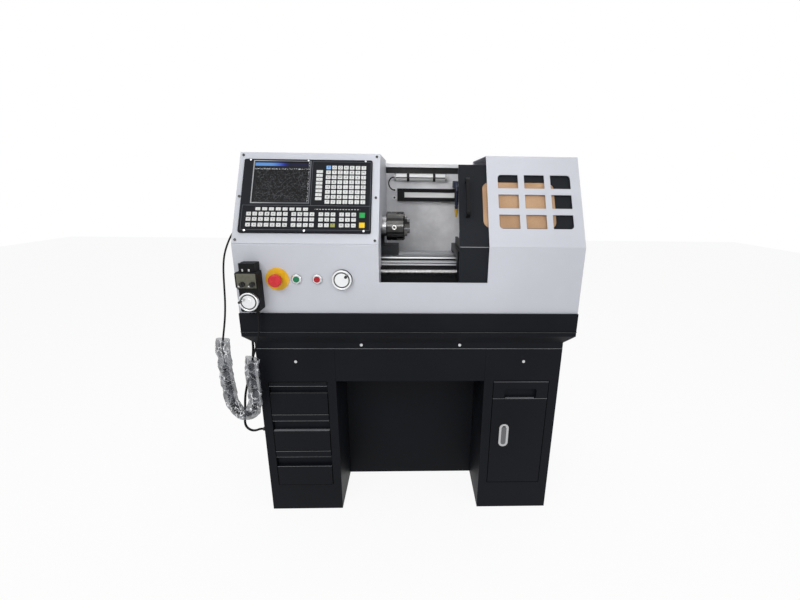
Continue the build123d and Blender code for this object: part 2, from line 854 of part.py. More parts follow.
door_leaf = fold_strip(leaf_setback, door_back, door_foot, door_rise, door_rest_left, door_rest_right)
flange_foot = door_foot + door_flange_stop
flange_rise = door_rise - door_flange_stop
for edge in (door_rest_left, door_rest_right - sheet):
    door_leaf += fold_strip(
        leaf_setback, door_back + door_flange, flange_foot, flange_rise, edge, edge + sheet,
    )
window_mid = (window_left + window_width / 2, window_low + window_height / 2)
window_outline = Pos(*window_mid) * RectangleRounded(window_width, window_height, window_corner)
door_leaf -= extrude(
    slant.offset(-leaf_setback - sheet - overrun) * window_outline, amount=sheet + 2 * overrun,
)
save("sliding_door", door_leaf)

pane_outline = offset(window_outline, amount=pane_lap)
save("door_window", extrude(slant.offset(-door_back - pane_thick) * pane_outline, amount=pane_thick))

handle_top = handle_low + handle_length
handle_points = [
    (handle_low, -leaf_setback), (handle_low, handle_reach - leaf_setback),
    (handle_top, handle_reach - leaf_setback), (handle_top, -leaf_setback),
]
side_plane = Plane(
    origin=slant.from_local_coords((handle_x - handle_width / 2, 0, 0)),
    x_dir=slant.y_dir, z_dir=slant.x_dir,
)
bow = Polygon(*handle_points, align=None)
bow = fillet(bow.vertices().sort_by(Axis.Y)[-2:], handle_corner)
inner_points = [
    (handle_low + handle_thick, -leaf_setback),
    (handle_low + handle_thick, handle_reach - leaf_setback - handle_thick),
    (handle_top - handle_thick, handle_reach - leaf_setback - handle_thick),
    (handle_top - handle_thick, -leaf_setback),
]
bow -= Polygon(*inner_points, align=None)
save("door_handle", extrude(side_plane * bow, amount=handle_width, dir=(1, 0, 0)))

rail_left = work_left + rail_end_gap
rail_right = half_width - sheet - rail_end_gap
rail_floor = door_foot - running_gap
rail_front = sheet
rail_back = door_back + rail_side_gap
lower_rail = block(
    rail_left, rail_right, rail_front, rail_back + rail_thick, rail_floor - rail_thick,
    rail_floor + rail_height - rail_thick,
)
lower_rail -= block(
    rail_left - overrun, rail_right + overrun, leaf_setback - rail_side_gap, rail_back,
    rail_floor, rail_floor + rail_height + overrun,
)
rail_roof = door_rise + running_gap
upper_rail = slant_block(
    work_right + rail_end_gap, rail_right, rail_roof + rail_thick - rail_height, rail_roof + rail_thick,
    -rail_back - rail_thick, -rail_front,
)
upper_rail -= slant_block(
    work_right - overrun, rail_right + overrun, rail_roof - rail_height - overrun, rail_roof,
    -rail_back, rail_side_gap - leaf_setback,
)
save("door_rails", Compound([lower_rail, upper_rail]))


# Bed
# A cast bed on two feet: a U section with an inverted V way in front and a flat way behind, cross
# ribs between the walls, a machined pad for the headstock and bearing blocks for the lead screw.
bed_reach = 234
bed_end_gap = 45
way_width = 50
way_thick = 24
way_drop = 10
web_inset = 10
web_thick = 28
web_taper = 11
trough_floor = 35
v_half = 10
v_inset = 25
way_groove_rise = 5
way_groove_height = 4
way_groove_depth = 5
rib_count = 4
rib_first = 72
rib_last = 85
rib_thick = 14
rib_drop = 40
foot_length = 120
foot_setback = 30
pad_gap = 11
pad_drop = 12
screw_block_length = 30
screw_block_half = 22
screw_motor_gap = 10

bed_left = work_left - bed_reach
bed_right = half_width - bed_end_gap
pad_right = work_left - pad_gap
rib_start = pad_right + rib_first
rib_step = (bed_right - rib_last - rib_start) / (rib_count - 1)
front_way = bed_front + way_width
rear_way = bed_back - way_width
way_under = way_top - way_thick
v_mid = bed_front + v_inset
v_base = way_top - way_drop
bed_outline = [
    (bed_front + web_inset, bed_floor), (bed_front + web_inset, way_under), (bed_front, way_under),
    (bed_front, v_base), (v_mid - v_half, v_base), (v_mid, way_top), (v_mid + v_half, v_base),
    (front_way, v_base), (front_way, way_under), (front_way - web_inset, way_under - web_taper),
    (front_way - web_inset, bed_floor + trough_floor), (rear_way + web_inset, bed_floor + trough_floor),
    (rear_way + web_inset, way_under - web_taper), (rear_way, way_under), (rear_way, way_top),
    (bed_back, way_top), (bed_back, way_under), (bed_back - web_inset, way_under),
    (bed_back - web_inset, bed_floor),
]
bed = prism_x(bed_outline, bed_left, bed_right)
for index in range(rib_count):
    rib_x = rib_start + index * rib_step
    bed += block(
        rib_x - rib_thick / 2, rib_x + rib_thick / 2, front_way - web_thick, rear_way + web_thick,
        bed_floor, way_under - rib_drop,
    )
for foot_x in (bed_left + foot_setback, bed_right - foot_setback - foot_length):
    bed += block(
        foot_x, foot_x + foot_length, bed_front + web_inset, bed_back - web_inset, pan_floor_top, bed_floor
    )
pad_top = way_top - pad_drop
way_groove_low = way_under + way_groove_rise
bed -= block(
    bed_left - overrun, bed_right + overrun, bed_front - overrun, bed_front + way_groove_depth,
    way_groove_low, way_groove_low + way_groove_height,
)
bed -= block(
    bed_left - overrun, pad_right, bed_front - overrun, bed_back + overrun, pad_top,
    way_top + overrun,
)
screw_blocks = (
    (bed_left - screw_motor_gap, bed_left + screw_block_length),
    (bed_right - screw_block_length, bed_right),
)
for block_left, block_right in screw_blocks:
    bed += block(
        block_left, block_right, z_screw_depth - screw_block_half, bed_front + web_inset,
        z_screw_z - screw_block_half, z_screw_z + screw_block_half,
    )
    bed -= rod_x(
        block_left - overrun, block_right + overrun, z_screw_depth, z_screw_z, z_screw_radius + shaft_gap
    )
save("bed", bed)


# Headstock, spindle and drive
# A cast headstock bolted to the bed's pad, a hollow spindle in two bearings, and a belt drive from
# a motor carried behind it. All but the nose is inside the left housing.
headstock_gap = 15
headstock_length = 207
headstock_half = 83
headstock_rise = 80
headstock_round = 40
nose_reach = 73
nose_half = 36
nose_base_rise = 2
nose_height = 36
bearing_outer = 31
bearing_inner = 15
bearing_width = 16
journal_relief = 5
spindle_tail = 30
flange_radius = 36
flange_gap = 2
pulley_radius = 38
pulley_width = 24
pulley_rim = 3
pulley_gap = 3
motor_pulley_radius = 24
belt_width = 18
belt_thick = 4
motor_setback = 157
motor_drop = 15
motor_radius = 50
motor_length = 165
motor_flange_thick = 10
motor_shaft_radius = 8
motor_shaft_grip = 55

headstock_right = work_left - sheet - headstock_gap
headstock_left = headstock_right - headstock_length
headstock_front = spindle_depth - headstock_half
headstock_back = spindle_depth + headstock_half
headstock = block(
    headstock_left, headstock_right, headstock_front, headstock_back, pad_top, spindle_z + headstock_rise
)
headstock = fillet(headstock.edges().filter_by(Axis.X).group_by(Axis.Z)[-1], headstock_round)
headstock += block(
    headstock_right - overrun, headstock_right + nose_reach, spindle_depth - nose_half,
    spindle_depth + nose_half,
    way_top + nose_base_rise, way_top + nose_height,
)
headstock -= rod_x(
    headstock_left - overrun, headstock_right + overrun, spindle_depth, spindle_z,
    bearing_outer - journal_relief,
)
bearing_places = (headstock_left, headstock_right - bearing_width)
bearings = []
for place in bearing_places:
    headstock -= rod_x(place, place + bearing_width, spindle_depth, spindle_z, bearing_outer)
    bearing = rod_x(place, place + bearing_width, spindle_depth, spindle_z, bearing_outer)
    bearing -= rod_x(
        place - overrun, place + bearing_width + overrun, spindle_depth, spindle_z, bearing_inner + shaft_gap
    )
    bearings.append(bearing)
headstock -= rod_x(
    headstock_right, headstock_right + nose_reach + overrun, spindle_depth, spindle_z,
    flange_radius + flange_gap,
)
save("headstock", headstock)
save("spindle_bearings", Compound(bearings))

chuck_back = work_left + headstock_gap
spindle_left = headstock_left - spindle_tail
spindle = rod_x(spindle_left, chuck_back, spindle_depth, spindle_z, bearing_inner)
spindle += rod_x(headstock_right + flange_gap, chuck_back, spindle_depth, spindle_z, flange_radius)
pulley_left = headstock_left - pulley_gap - pulley_width
pulley_right = headstock_left - pulley_gap


def grooved_pulley(y, z, radius):
    """A flat-belt pulley with a rim at each side."""
    pulley = rod_x(pulley_left, pulley_right, y, z, radius + pulley_rim)
    groove = rod_x(pulley_left + pulley_rim, pulley_right - pulley_rim, y, z, radius + 2 * pulley_rim)
    groove -= rod_x(pulley_left, pulley_right, y, z, radius)
    return pulley - groove


spindle += grooved_pulley(spindle_depth, spindle_z, pulley_radius)
spindle -= rod_x(spindle_left - overrun, chuck_back + overrun, spindle_depth, spindle_z, bar_radius)
save("spindle", spindle)

motor_depth = spindle_depth + motor_setback
motor_z = spindle_z - motor_drop
motor_left = headstock_left
motor = rod_x(motor_left, motor_left + motor_length, motor_depth, motor_z, motor_radius)
motor += block(
    motor_left, motor_left + motor_flange_thick, headstock_back, motor_depth + motor_radius,
    motor_z - motor_radius, motor_z + motor_radius,
)
motor -= rod_x(
    motor_left - overrun, motor_left + motor_length / 2, motor_depth, motor_z,
    motor_shaft_radius + shaft_gap,
)
save("spindle_motor", motor)

motor_pulley = grooved_pulley(motor_depth, motor_z, motor_pulley_radius)
motor_pulley += rod_x(pulley_right, motor_left + motor_shaft_grip, motor_depth, motor_z, motor_shaft_radius)
save("motor_pulley", motor_pulley)


def belt_face(grow):
    """The outline round both pulleys, standing off them by a distance."""
    ends = Pos(spindle_depth, spindle_z) * Circle(pulley_radius + grow)
    ends += Pos(motor_depth, motor_z) * Circle(motor_pulley_radius + grow)
    return make_hull(ends.edges())


belt_left = (pulley_left + pulley_right - belt_width) / 2
belt_ring = belt_face(running_gap + belt_thick) - belt_face(running_gap)
save("drive_belt", extrude(Plane.YZ.offset(belt_left) * belt_ring, amount=belt_width, dir=(1, 0, 0)))


# Chuck
# A three-jaw scroll chuck: a turned body with a bore, three jaw slots with side grooves and a
# square key socket between each pair of jaws, and three stepped jaws with tongues.
jaw_count = 3
jaw_turns = (30, 150, 270)
jaw_width = 14
jaw_seat = 25
jaw_inner = 14
jaw_outer = 47
jaw_step_reaches = (20, 11, 3)
jaw_step_rises = (10, 21)
tongue_width = 20
tongue_thick = 5
tongue_set = 8
chuck_edge = 2
chuck_groove_width = 3
chuck_groove_share = 0.25
chuck_groove_depth = 1.5
key_socket_set = 28
key_socket_size = 8
key_socket_depth = 14
pinion_radius = 8
pinion_sink = 1.5

chuck_face = chuck_back + chuck_length
slot_gap = running_gap
axis_frame = Pos(0, spindle_depth, spindle_z)


def about_axis(turn, shape):
    """A shape made with its radius along Z, turned about the spindle's axis."""
    return axis_frame * Rot(turn, 0, 0) * shape


chuck = rod_x(chuck_back, chuck_face, spindle_depth, spindle_z, chuck_radius)
chuck = chamfer(chuck.edges().filter_by(GeomType.CIRCLE), chuck_edge)
chuck -= rod_x(chuck_back - overrun, chuck_face + overrun, spindle_depth, spindle_z, bar_radius)
groove_left = chuck_back + chuck_length * chuck_groove_share
groove = rod_x(
    groove_left, groove_left + chuck_groove_width, spindle_depth, spindle_z, chuck_radius + overrun,
)
groove -= rod_x(chuck_back, chuck_face, spindle_depth, spindle_z, chuck_radius - chuck_groove_depth)
chuck -= groove
jaw_back = chuck_face - jaw_seat
tongue_left = jaw_back + tongue_set
for index, turn in enumerate(jaw_turns):
    half = jaw_width / 2
    outline = [
        (jaw_back, jaw_inner), (chuck_face + jaw_step_reaches[0], jaw_inner),
        (chuck_face + jaw_step_reaches[0], jaw_inner + jaw_step_rises[0]),
        (chuck_face + jaw_step_reaches[1], jaw_inner + jaw_step_rises[0]),
        (chuck_face + jaw_step_reaches[1], jaw_inner + jaw_step_rises[1]),
        (chuck_face + jaw_step_reaches[2], jaw_inner + jaw_step_rises[1]),
        (chuck_face + jaw_step_reaches[2], jaw_outer), (jaw_back, jaw_outer),
    ]
    jaw = prism_y(outline, -half, half)
    jaw += block(
        tongue_left, tongue_left + tongue_thick, -tongue_width / 2, tongue_width / 2, jaw_inner, jaw_outer
    )
    slot = block(
        jaw_back - slot_gap, chuck_face + overrun, -half - slot_gap, half + slot_gap, 0,
        chuck_radius + overrun,
    )
    slot += block(
        tongue_left - slot_gap, tongue_left + tongue_thick + slot_gap,
        -tongue_width / 2 - slot_gap, tongue_width / 2 + slot_gap, 0, chuck_radius + overrun,
    )
    chuck -= about_axis(turn, slot)
    socket_x = chuck_back + key_socket_set
    socket = rod_z(socket_x, 0, chuck_radius - pinion_sink, chuck_radius + overrun, pinion_radius)
    socket += block(
        socket_x - key_socket_size / 2, socket_x + key_socket_size / 2,
        -key_socket_size / 2, key_socket_size / 2, chuck_radius - key_socket_depth, chuck_radius + overrun,
    )
    chuck -= about_axis(turn + 180 / jaw_count, socket)
    save(f"chuck_jaw_{index + 1}", about_axis(turn, jaw))
save("chuck_body", chuck)


# Carriage drive along the bed
# A ball screw in front of the bed, turned by a square motor at its left end.
z_motor_size = 86
z_motor_length = 75
z_screw_end_gap = 4
z_motor_edge = 5

z_screw_left = bed_left - screw_motor_gap + z_screw_end_gap
z_screw_right = bed_right - z_screw_end_gap
save("z_screw", rod_x(z_screw_left, z_screw_right, z_screw_depth, z_screw_z, z_screw_radius))
z_motor_right = bed_left - screw_motor_gap
z_motor = block(
    z_motor_right - z_motor_length, z_motor_right, z_screw_depth - z_motor_size / 2,
    z_screw_depth + z_motor_size / 2,
    z_screw_z - z_motor_size / 2, z_screw_z + z_motor_size / 2,
)
z_motor = chamfer(z_motor.edges().filter_by(Axis.X), z_motor_edge)
save("z_motor", z_motor)


# Saddle, cross slide and tool post
# The saddle rides on both ways and carries the nut in its apron. The cross slide runs on a
# dovetail across it, driven by a screw in a slot, and carries a four-way tool post.
saddle_back_off = 90
saddle_length = 140
saddle_rise = 30
apron_thick = 30
apron_gap = 4
apron_depth = 65
saddle_clear = 0.42
saddle_relief = 7
dovetail_top = 70
dovetail_foot = 54
dovetail_rise = 12
slide_left_inset = 12
slide_length = 172
slide_front_reach = 24
slide_thick = 27
tee_width = 8
tee_depth = 10
x_screw_radius = 5
x_slot_half = 9
x_slot_depth = 20
x_slot_wall = 10
x_nut_length = 24
x_nut_gap = 1
x_motor_size = 57
x_motor_length = 74
x_bracket_reach = 28
x_bracket_plate = 4
post_size = 64
post_slot = 13
post_slot_depth = 14
post_base_gap = 6
tool_size = 12
tool_overhang = 18
post_bolt_radius = 8
post_bolt_rise = 16
clamp_radius = 3
clamp_rise = 8
clamp_count = 3

saddle_left = work_right - saddle_back_off
saddle_right = saddle_left + saddle_length
saddle_mid = (saddle_left + saddle_right) / 2
saddle_top = way_top + saddle_rise
apron_back = bed_front - apron_gap
apron_front = apron_back - apron_thick
saddle_back = bed_back + apron_gap / 2
seat = v_base + saddle_clear
saddle_outline = [
    (apron_front, way_top - apron_depth), (apron_back, way_top - apron_depth), (apron_back, seat),
    (v_mid - v_half, seat), (v_mid, way_top + saddle_clear), (v_mid + v_half, seat), (front_way, seat),
    (front_way, way_top + saddle_relief), (rear_way, way_top + saddle_relief),
    (rear_way, way_top + saddle_clear), (saddle_back, way_top + saddle_clear), (saddle_back, saddle_top),
    (apron_front, saddle_top),
]
saddle = prism_x(saddle_outline, saddle_left, saddle_right)
dovetail = [
    (saddle_mid - dovetail_foot / 2, saddle_top), (saddle_mid + dovetail_foot / 2, saddle_top),
    (saddle_mid + dovetail_top / 2, saddle_top + dovetail_rise),
    (saddle_mid - dovetail_top / 2, saddle_top + dovetail_rise),
]
saddle += prism_y(dovetail, apron_front, saddle_back)
ridge_top = saddle_top + dovetail_rise
x_screw_z = ridge_top - x_slot_depth / 2
saddle -= block(
    saddle_mid - x_slot_half, saddle_mid + x_slot_half, apron_front + x_slot_wall, saddle_back - x_slot_wall,
    ridge_top - x_slot_depth, ridge_top + overrun,
)
saddle -= rod_y(
    saddle_mid, apron_front - overrun, saddle_back + overrun, x_screw_z, x_screw_radius + shaft_gap,
)
saddle -= rod_x(
    saddle_left - overrun, saddle_right + overrun, z_screw_depth, z_screw_z, z_screw_radius + shaft_gap
)
save("saddle", saddle)

slide_left = saddle_left + slide_left_inset
slide_right = saddle_right - slide_left_inset
slide_front = apron_front + slide_front_reach - apron_gap
slide_back = slide_front + slide_length
slide_low = saddle_top + running_gap
slide_top = saddle_top + slide_thick
side_gap = 2 * running_gap
groove_outline = [
    (saddle_mid - dovetail_foot / 2 - side_gap, saddle_top - overrun),
    (saddle_mid + dovetail_foot / 2 + side_gap, saddle_top - overrun),
    (saddle_mid + dovetail_foot / 2 + side_gap, saddle_top),
    (saddle_mid + dovetail_top / 2 + side_gap, saddle_top + dovetail_rise),
    (saddle_mid + dovetail_top / 2 + side_gap, saddle_top + dovetail_rise + running_gap),
    (saddle_mid - dovetail_top / 2 - side_gap, saddle_top + dovetail_rise + running_gap),
    (saddle_mid - dovetail_top / 2 - side_gap, saddle_top + dovetail_rise),
    (saddle_mid - dovetail_foot / 2 - side_gap, saddle_top),
]
slide = block(slide_left, slide_right, slide_front, slide_back, slide_low, slide_top)
slide -= prism_y(groove_outline, slide_front - overrun, slide_back + overrun)
nut_mid = (slide_front + slide_back) / 2
nut_half = x_slot_half - x_nut_gap
nut_low = ridge_top - x_slot_depth + x_nut_gap
slide += block(
    saddle_mid - nut_half, saddle_mid + nut_half, nut_mid - x_nut_length / 2, nut_mid + x_nut_length / 2,
    nut_low, slide_top - tee_depth / 2,
)
slide -= rod_y(
    saddle_mid, nut_mid - x_nut_length, nut_mid + x_nut_length, x_screw_z,
    x_screw_radius + shaft_gap,
)
for tee_x in (slide_left + slide_left_inset, slide_right - slide_left_inset):
    slide -= block(
        tee_x - tee_width / 2, tee_x + tee_width / 2, slide_front - overrun, slide_back + overrun,
        slide_top - tee_depth / 2, slide_top + overrun,
    )
save("cross_slide", slide)

x_screw_back = saddle_back + x_bracket_reach - x_bracket_plate
save(
    "x_screw",
    rod_y(saddle_mid, apron_front + running_gap, x_screw_back - running_gap, x_screw_z, x_screw_radius),
)
x_half = x_motor_size / 2
bracket_back = saddle_back + x_bracket_reach
x_motor = block(
    saddle_mid - x_half, saddle_mid + x_half, bracket_back - x_bracket_plate, bracket_back + x_motor_length,
    x_screw_z - x_half, x_screw_z + x_half,
)
for arm_left, arm_right in (
    (saddle_mid - x_half, saddle_mid - x_slot_half),
    (saddle_mid + x_slot_half, saddle_mid + x_half),
):
    x_motor += block(arm_left, arm_right, saddle_back, bracket_back, x_screw_z - x_half, saddle_top)
save("x_motor", x_motor)

post_front = slide_front + post_base_gap
post_left = slide_left + slide_left_inset + tee_width
post_right = post_left + post_size
post_back = post_front + post_size
slot_low = spindle_z - tool_size
post_top = slot_low + post_slot + post_slot_depth
post_x = (post_left + post_right) / 2
post_y = (post_front + post_back) / 2
post = block(post_left, post_right, post_front, post_back, slide_top, post_top)
for cut_left, cut_right in (
    (post_left - overrun, post_left + post_slot_depth),
    (post_right - post_slot_depth, post_right + overrun),
):
    post -= block(
        cut_left, cut_right, post_front - overrun, post_back + overrun, slot_low,
        slot_low + post_slot,
    )
post += rod_z(post_x, post_y, post_top, post_top + post_bolt_rise, post_bolt_radius)
for side_x in (post_left + post_slot_depth / 2, post_right - post_slot_depth / 2):
    for index in range(clamp_count):
        clamp_y = post_front + (index + 1) * post_size / (clamp_count + 1)
        post += rod_z(side_x, clamp_y, slot_low + tool_size, post_top + clamp_rise, clamp_radius)
tool_left = post_left + post_slot_depth - tool_size
post += block(
    tool_left, tool_left + tool_size, post_front - tool_overhang, post_back + tool_overhang,
    slot_low, slot_low + tool_size,
)
save("tool_post", post)


# Lamps and coolant nozzle on the rear wall
# A flat panel lamp and a tube lamp above it, and a jointed hose that ends in a tapered nozzle.
lamp_inset = 45
lamp_end = 57
lamp_drop = 155
lamp_height = 49
lamp_thick = 22
lamp_frame = 14
lamp_sink = 3
tube_inset = 34
tube_end = 105
tube_radius = 14
tube_drop = 63
hose_inset = 66
hose_drop = 88
hose_base_size = 26
hose_bead_radius = 8
hose_neck_radius = 5.5
hose_bead_pitch = 11
hose_bend = 28
hose_arc_beads = 4
hose_drop_beads = 6
nozzle_length = 32
nozzle_tip_radius = 3

lamp_left = work_left + lamp_inset
lamp_right = work_right - lamp_end
lamp_low = enclosure_top - lamp_drop
tube_left = work_left + tube_inset
tube_right = work_right - tube_end
tube_z = enclosure_top - tube_drop
hose_x = work_right - hose_inset
hose_base_z = enclosure_top - hose_drop
lamp_back = rear_face
lamp = block(lamp_left, lamp_right, lamp_back - lamp_thick, lamp_back, lamp_low, lamp_low + lamp_height)
lamp -= block(
    lamp_left + 2 * lamp_frame, lamp_right - lamp_frame, lamp_back - lamp_thick - overrun,
    lamp_back - lamp_thick + lamp_sink, lamp_low + lamp_frame, lamp_low + lamp_height - lamp_frame,
)
save("work_lamp", lamp)
save("tube_lamp", rod_x(tube_left, tube_right, rear_face - tube_radius, tube_z, tube_radius))

base_front = rear_face - hose_base_size
half_base = hose_base_size / 2
nozzle = block(
    hose_x - half_base, hose_x + half_base, base_front, rear_face, hose_base_z - half_base,
    hose_base_z + half_base,
)
bead = Cone(
    hose_bead_radius, hose_neck_radius, hose_bead_pitch,
    align=(Align.CENTER, Align.CENTER, Align.MIN),
)
bend_centre_z = hose_base_z - hose_bend
for index in range(hose_arc_beads):
    turn = 90 * index / hose_arc_beads
    bead_y = base_front - hose_bend * math.sin(math.radians(turn))
    bead_z = bend_centre_z + hose_bend * math.cos(math.radians(turn))
    nozzle += Pos(hose_x, bead_y, bead_z) * Rot(90 + turn, 0, 0) * bead
drop_y = base_front - hose_bend
for index in range(hose_drop_beads):
    nozzle += Pos(hose_x, drop_y, bend_centre_z - index * hose_bead_pitch) * Rot(180, 0, 0) * bead
tip = Cone(hose_bead_radius, nozzle_tip_radius, nozzle_length, align=(Align.CENTER, Align.CENTER, Align.MIN))
nozzle += Pos(hose_x, drop_y, bend_centre_z - hose_drop_beads * hose_bead_pitch) * Rot(180, 0, 0) * tip
save("coolant_nozzle", nozzle)


# Hand pendant
# A moulded box hung on the front by a hook block, with two selector knobs and a crank wheel.
pendant_inset = 85
pendant_lift = 18
pendant_body_width = 58
pendant_body_height = 70
pendant_head_width = 66
pendant_head_height = 54
pendant_shoulder = 8
pendant_edge = 5
hook_width = 48
hook_height = 26
hook_inset = 6
relief_radius = 5
relief_length = 14
lead_out_inset = 16
lead_diameter = 6
pendant_wheel_radius = 29
pendant_wheel_rise = 34
pendant_wheel_lip = 3
pendant_peg_reach = 21
pendant_peg_radius = 4
pendant_peg_angle = 172
pendant_shaft_radius = 4
knob_radius = 7.5
knob_length = 11
knob_gap = 0.5
knob_shaft_radius = 2.5
knob_rise = 88
knob_spread = 30

pendant_right = pendant_inset - half_width
pendant_low = pan_top + pendant_lift
pendant_left = pendant_right - pendant_body_width
head_left = pendant_right - pendant_head_width
shoulder_z = pendant_low + pendant_body_height
pendant_top = shoulder_z + pendant_head_height
pendant_outline = [
    (pendant_left, pendant_low), (pendant_right, pendant_low), (pendant_right, pendant_top),
    (head_left, pendant_top), (head_left, shoulder_z + pendant_shoulder), (pendant_left, shoulder_z),
]
pendant = prism_y(pendant_outline, pendant_face, -pendant_gap)
pendant = fillet(pendant.edges().filter_by(Axis.Y), pendant_edge)
hook_left = pendant_right - hook_width - hook_inset
pendant += block(
    hook_left, hook_left + hook_width, pendant_face + hook_inset, 0, pendant_top,
    pendant_top + hook_height,
)
pendant_mid_depth = pendant_face + pendant_depth / 2
lead_x = pendant_right - lead_out_inset
pendant += rod_z(lead_x, pendant_mid_depth, pendant_low - relief_length, pendant_low, relief_radius)
wheel_x = (pendant_left + pendant_right) / 2
wheel_z = pendant_low + pendant_wheel_rise
pendant -= rod_y(
    wheel_x, pendant_face - overrun, pendant_mid_depth, wheel_z, pendant_shaft_radius + shaft_gap,
)
knob_z = pendant_low + knob_rise
knob_back = pendant_face - knob_gap
knob_places = {"pendant_axis_knob": wheel_x - knob_spread / 2, "pendant_step_knob": wheel_x + knob_spread / 2}
for name, knob_x in knob_places.items():
    pendant -= rod_y(knob_x, pendant_face - overrun, pendant_mid_depth, knob_z, knob_shaft_radius + shaft_gap)
    knob = rod_y(knob_x, knob_back - knob_length, knob_back, knob_z, knob_radius)
    wing = block(
        knob_x - knob_shaft_radius, knob_x + knob_shaft_radius, knob_back - knob_length - knob_shaft_radius,
        knob_back - knob_length, knob_z - knob_radius + knob_gap, knob_z + knob_radius - knob_gap,
    )
    knob += wing + rod_y(knob_x, knob_back, pendant_mid_depth - knob_length, knob_z, knob_shaft_radius)
    save(name, knob)
save("pendant_body", pendant)
save("pendant_wheel", crank_wheel(
    wheel_x, wheel_z, pendant_face - pendant_wheel_gap, pendant_wheel_thick, pendant_wheel_radius,
    pendant_wheel_lip,
    pendant_peg_reach, pendant_peg_radius, pendant_peg_length, pendant_peg_angle,
    pendant_shaft_radius, pendant_mid_depth - knob_length,
))


# Cords
# The pendant's lead drops to a curly cord that hangs in a loose loop inside a film sleeve, and a
# second lead climbs to a socket on the left wall. A supply cable hangs beside the left pedestal.
curly_diameter = 20
supply_diameter = 8
sleeve_half_width = 21
sleeve_film = 1
sleeve_overlap = 4
plug_radius = 10
plug_length = 17
plug_flange_radius = 15
plug_flange_thick = 3
plug_tail_radius = 5
plug_tail_length = 12
wall_gland_drop = 456
wall_gland_length = 12
run_share = 0.45

wall_gland_z = pan_top - wall_gland_drop


def from_corner(offsets):
    """Route points given from the enclosure's lower front left corner."""
    return [(x - half_width, depth, z + pan_top) for x, depth, z in offsets]


pendant_lead_route = from_corner([
    (69, -24, 4), (69, -24, -20), (67, -26.5, -51), (62, -31, -81), (53, -32.5, -107), (45, -32, -128),
    (39, -32, -143.75),
])
curly_route = from_corner([
    (39, -32, -143.75), (31, -32, -164.75), (30, -32, -204), (34, -32, -249), (34.5, -32, -287),
    (29, -32, -322), (12, -32, -345), (-12, -32, -350), (-35, -32, -335), (-47, -32, -302),
    (-50, -32, -256), (-51.4, -32, -206), (-52, -32, -156),
])
return_lead_route = from_corner([
    (-52, -32, -156), (-52.5, -32, -134), (-52, -32, -110), (-48, -31, -78), (-43, -26, -46),
    (-41, -14, -12), (-46, 10, 30), (-58, 42, 76), (-71, 76, 119), (-80, 106, 151), (-85, 134, 176),
    (-85, 158, 198), (-81, 176, 219), (-73, 187, 236), (-61, 190, 247), (-47, 190, 251), (-32, 190, 251),
])
sleeve_route = curly_route + return_lead_route[1:sleeve_overlap]
supply_route = from_corner([
    (14, 40, -108), (14, 40, -130), (10, 40, -162), (3, 40, -196), (-6, 40, -230), (-17, 40, -263),
    (-28, 40, -295), (-36, 40, -331), (-40, 40, -369), (-45, 40, -406), (-48, 40, -434),
    (-42, 40, -452), (-27, 40, -463), (-10, 40, -463), (4, 40, -456), (17, 40, -456),
])


def cord_line(points):
    """Straight runs joined by arcs as large as the runs beside each corner allow."""
    radii = []
    for before, corner, after in zip(points, points[1:], points[2:]):
        run_in = Vector(*corner) - Vector(*before)
        run_out = Vector(*after) - Vector(*corner)
        half_turn = math.radians(run_in.get_angle(run_out) / 2)
        radii.append(run_share * min(run_in.length, run_out.length) / math.tan(half_turn))
    print("bend radii", [round(radius) for radius in radii])
    return FilletPolyline(*points, radius=radii)


def cord_tube(points, diameter):
    """A round cord swept along its line."""
    line = cord_line(points)
    section = Plane(origin=line @ 0, z_dir=line % 0) * Circle(diameter / 2)
    tube = sweep(section, path=line)
    print("length", round(line.length), "volume share", round(tube.volume / (section.area * line.length), 4))
    return tube


leads = [cord_tube(pendant_lead_route, lead_diameter), cord_tube(return_lead_route, lead_diameter)]
save("pendant_leads", Compound(leads))
save("curly_cord", cord_tube(curly_route, curly_diameter))
save("supply_cable", cord_tube(supply_route, supply_diameter))

sleeve_half_depth = curly_diameter / 2 + running_gap + sleeve_film
sleeve_line = cord_line(sleeve_route)
sleeve_plane = Plane(origin=sleeve_line @ 0, x_dir=(0, 1, 0), z_dir=sleeve_line % 0)
outer_oval = sleeve_plane * Ellipse(sleeve_half_depth, sleeve_half_width)
inner_oval = sleeve_plane * Ellipse(sleeve_half_depth - sleeve_film, sleeve_half_width - sleeve_film)
save("film_sleeve", sweep(outer_oval, path=sleeve_line) - sweep(inner_oval, path=sleeve_line))

glands = []
socket = rod_x(-half_width, sheet + overrun - half_width, socket_depth, socket_z, socket_radius)
socket += rod_x(-half_width - plug_flange_thick, -half_width, socket_depth, socket_z, plug_flange_radius)
plug_end = -half_width - plug_flange_thick - plug_length
socket += rod_x(plug_end, -half_width, socket_depth, socket_z, plug_radius)
tail = Cone(plug_radius, plug_tail_radius, plug_tail_length, align=(Align.CENTER, Align.CENTER, Align.MIN))
socket += Pos(plug_end, socket_depth, socket_z) * Rot(0, -90, 0) * tail
glands.append(socket)
glands.append(rod_z(grommet_x, grommet_depth, grommet_low, grommet_low + grommet_length, grommet_radius))
gland_end = -stand_half - wall_gland_length
glands.append(
    rod_x(gland_end, stand_sheet + overrun - stand_half, grommet_depth, wall_gland_z, grommet_radius),
)
save("cable_glands", Compound(glands))
left_pedestal -= rod_x(
    -stand_half - overrun, stand_sheet + overrun - stand_half, grommet_depth, wall_gland_z,
    grommet_radius + shaft_gap,
)
save("left_pedestal", left_pedestal)


# Screws
# Heads on the stand, the pan's base, the control plate and the bezel, each seated on its sheet.
stand_screw_radius = 5
stand_screw_thick = 3
stand_screw_drop = 48
pan_screw_inset = 92
pan_screw_rise = 13
plate_screw_radius = 4
plate_screw_thick = 2.5
plate_screw_inset = 11
bezel_screw_radius = 3
bezel_screw_thick = 1.5
bezel_screw_inset = 6
bezel_screw_side = 21.5

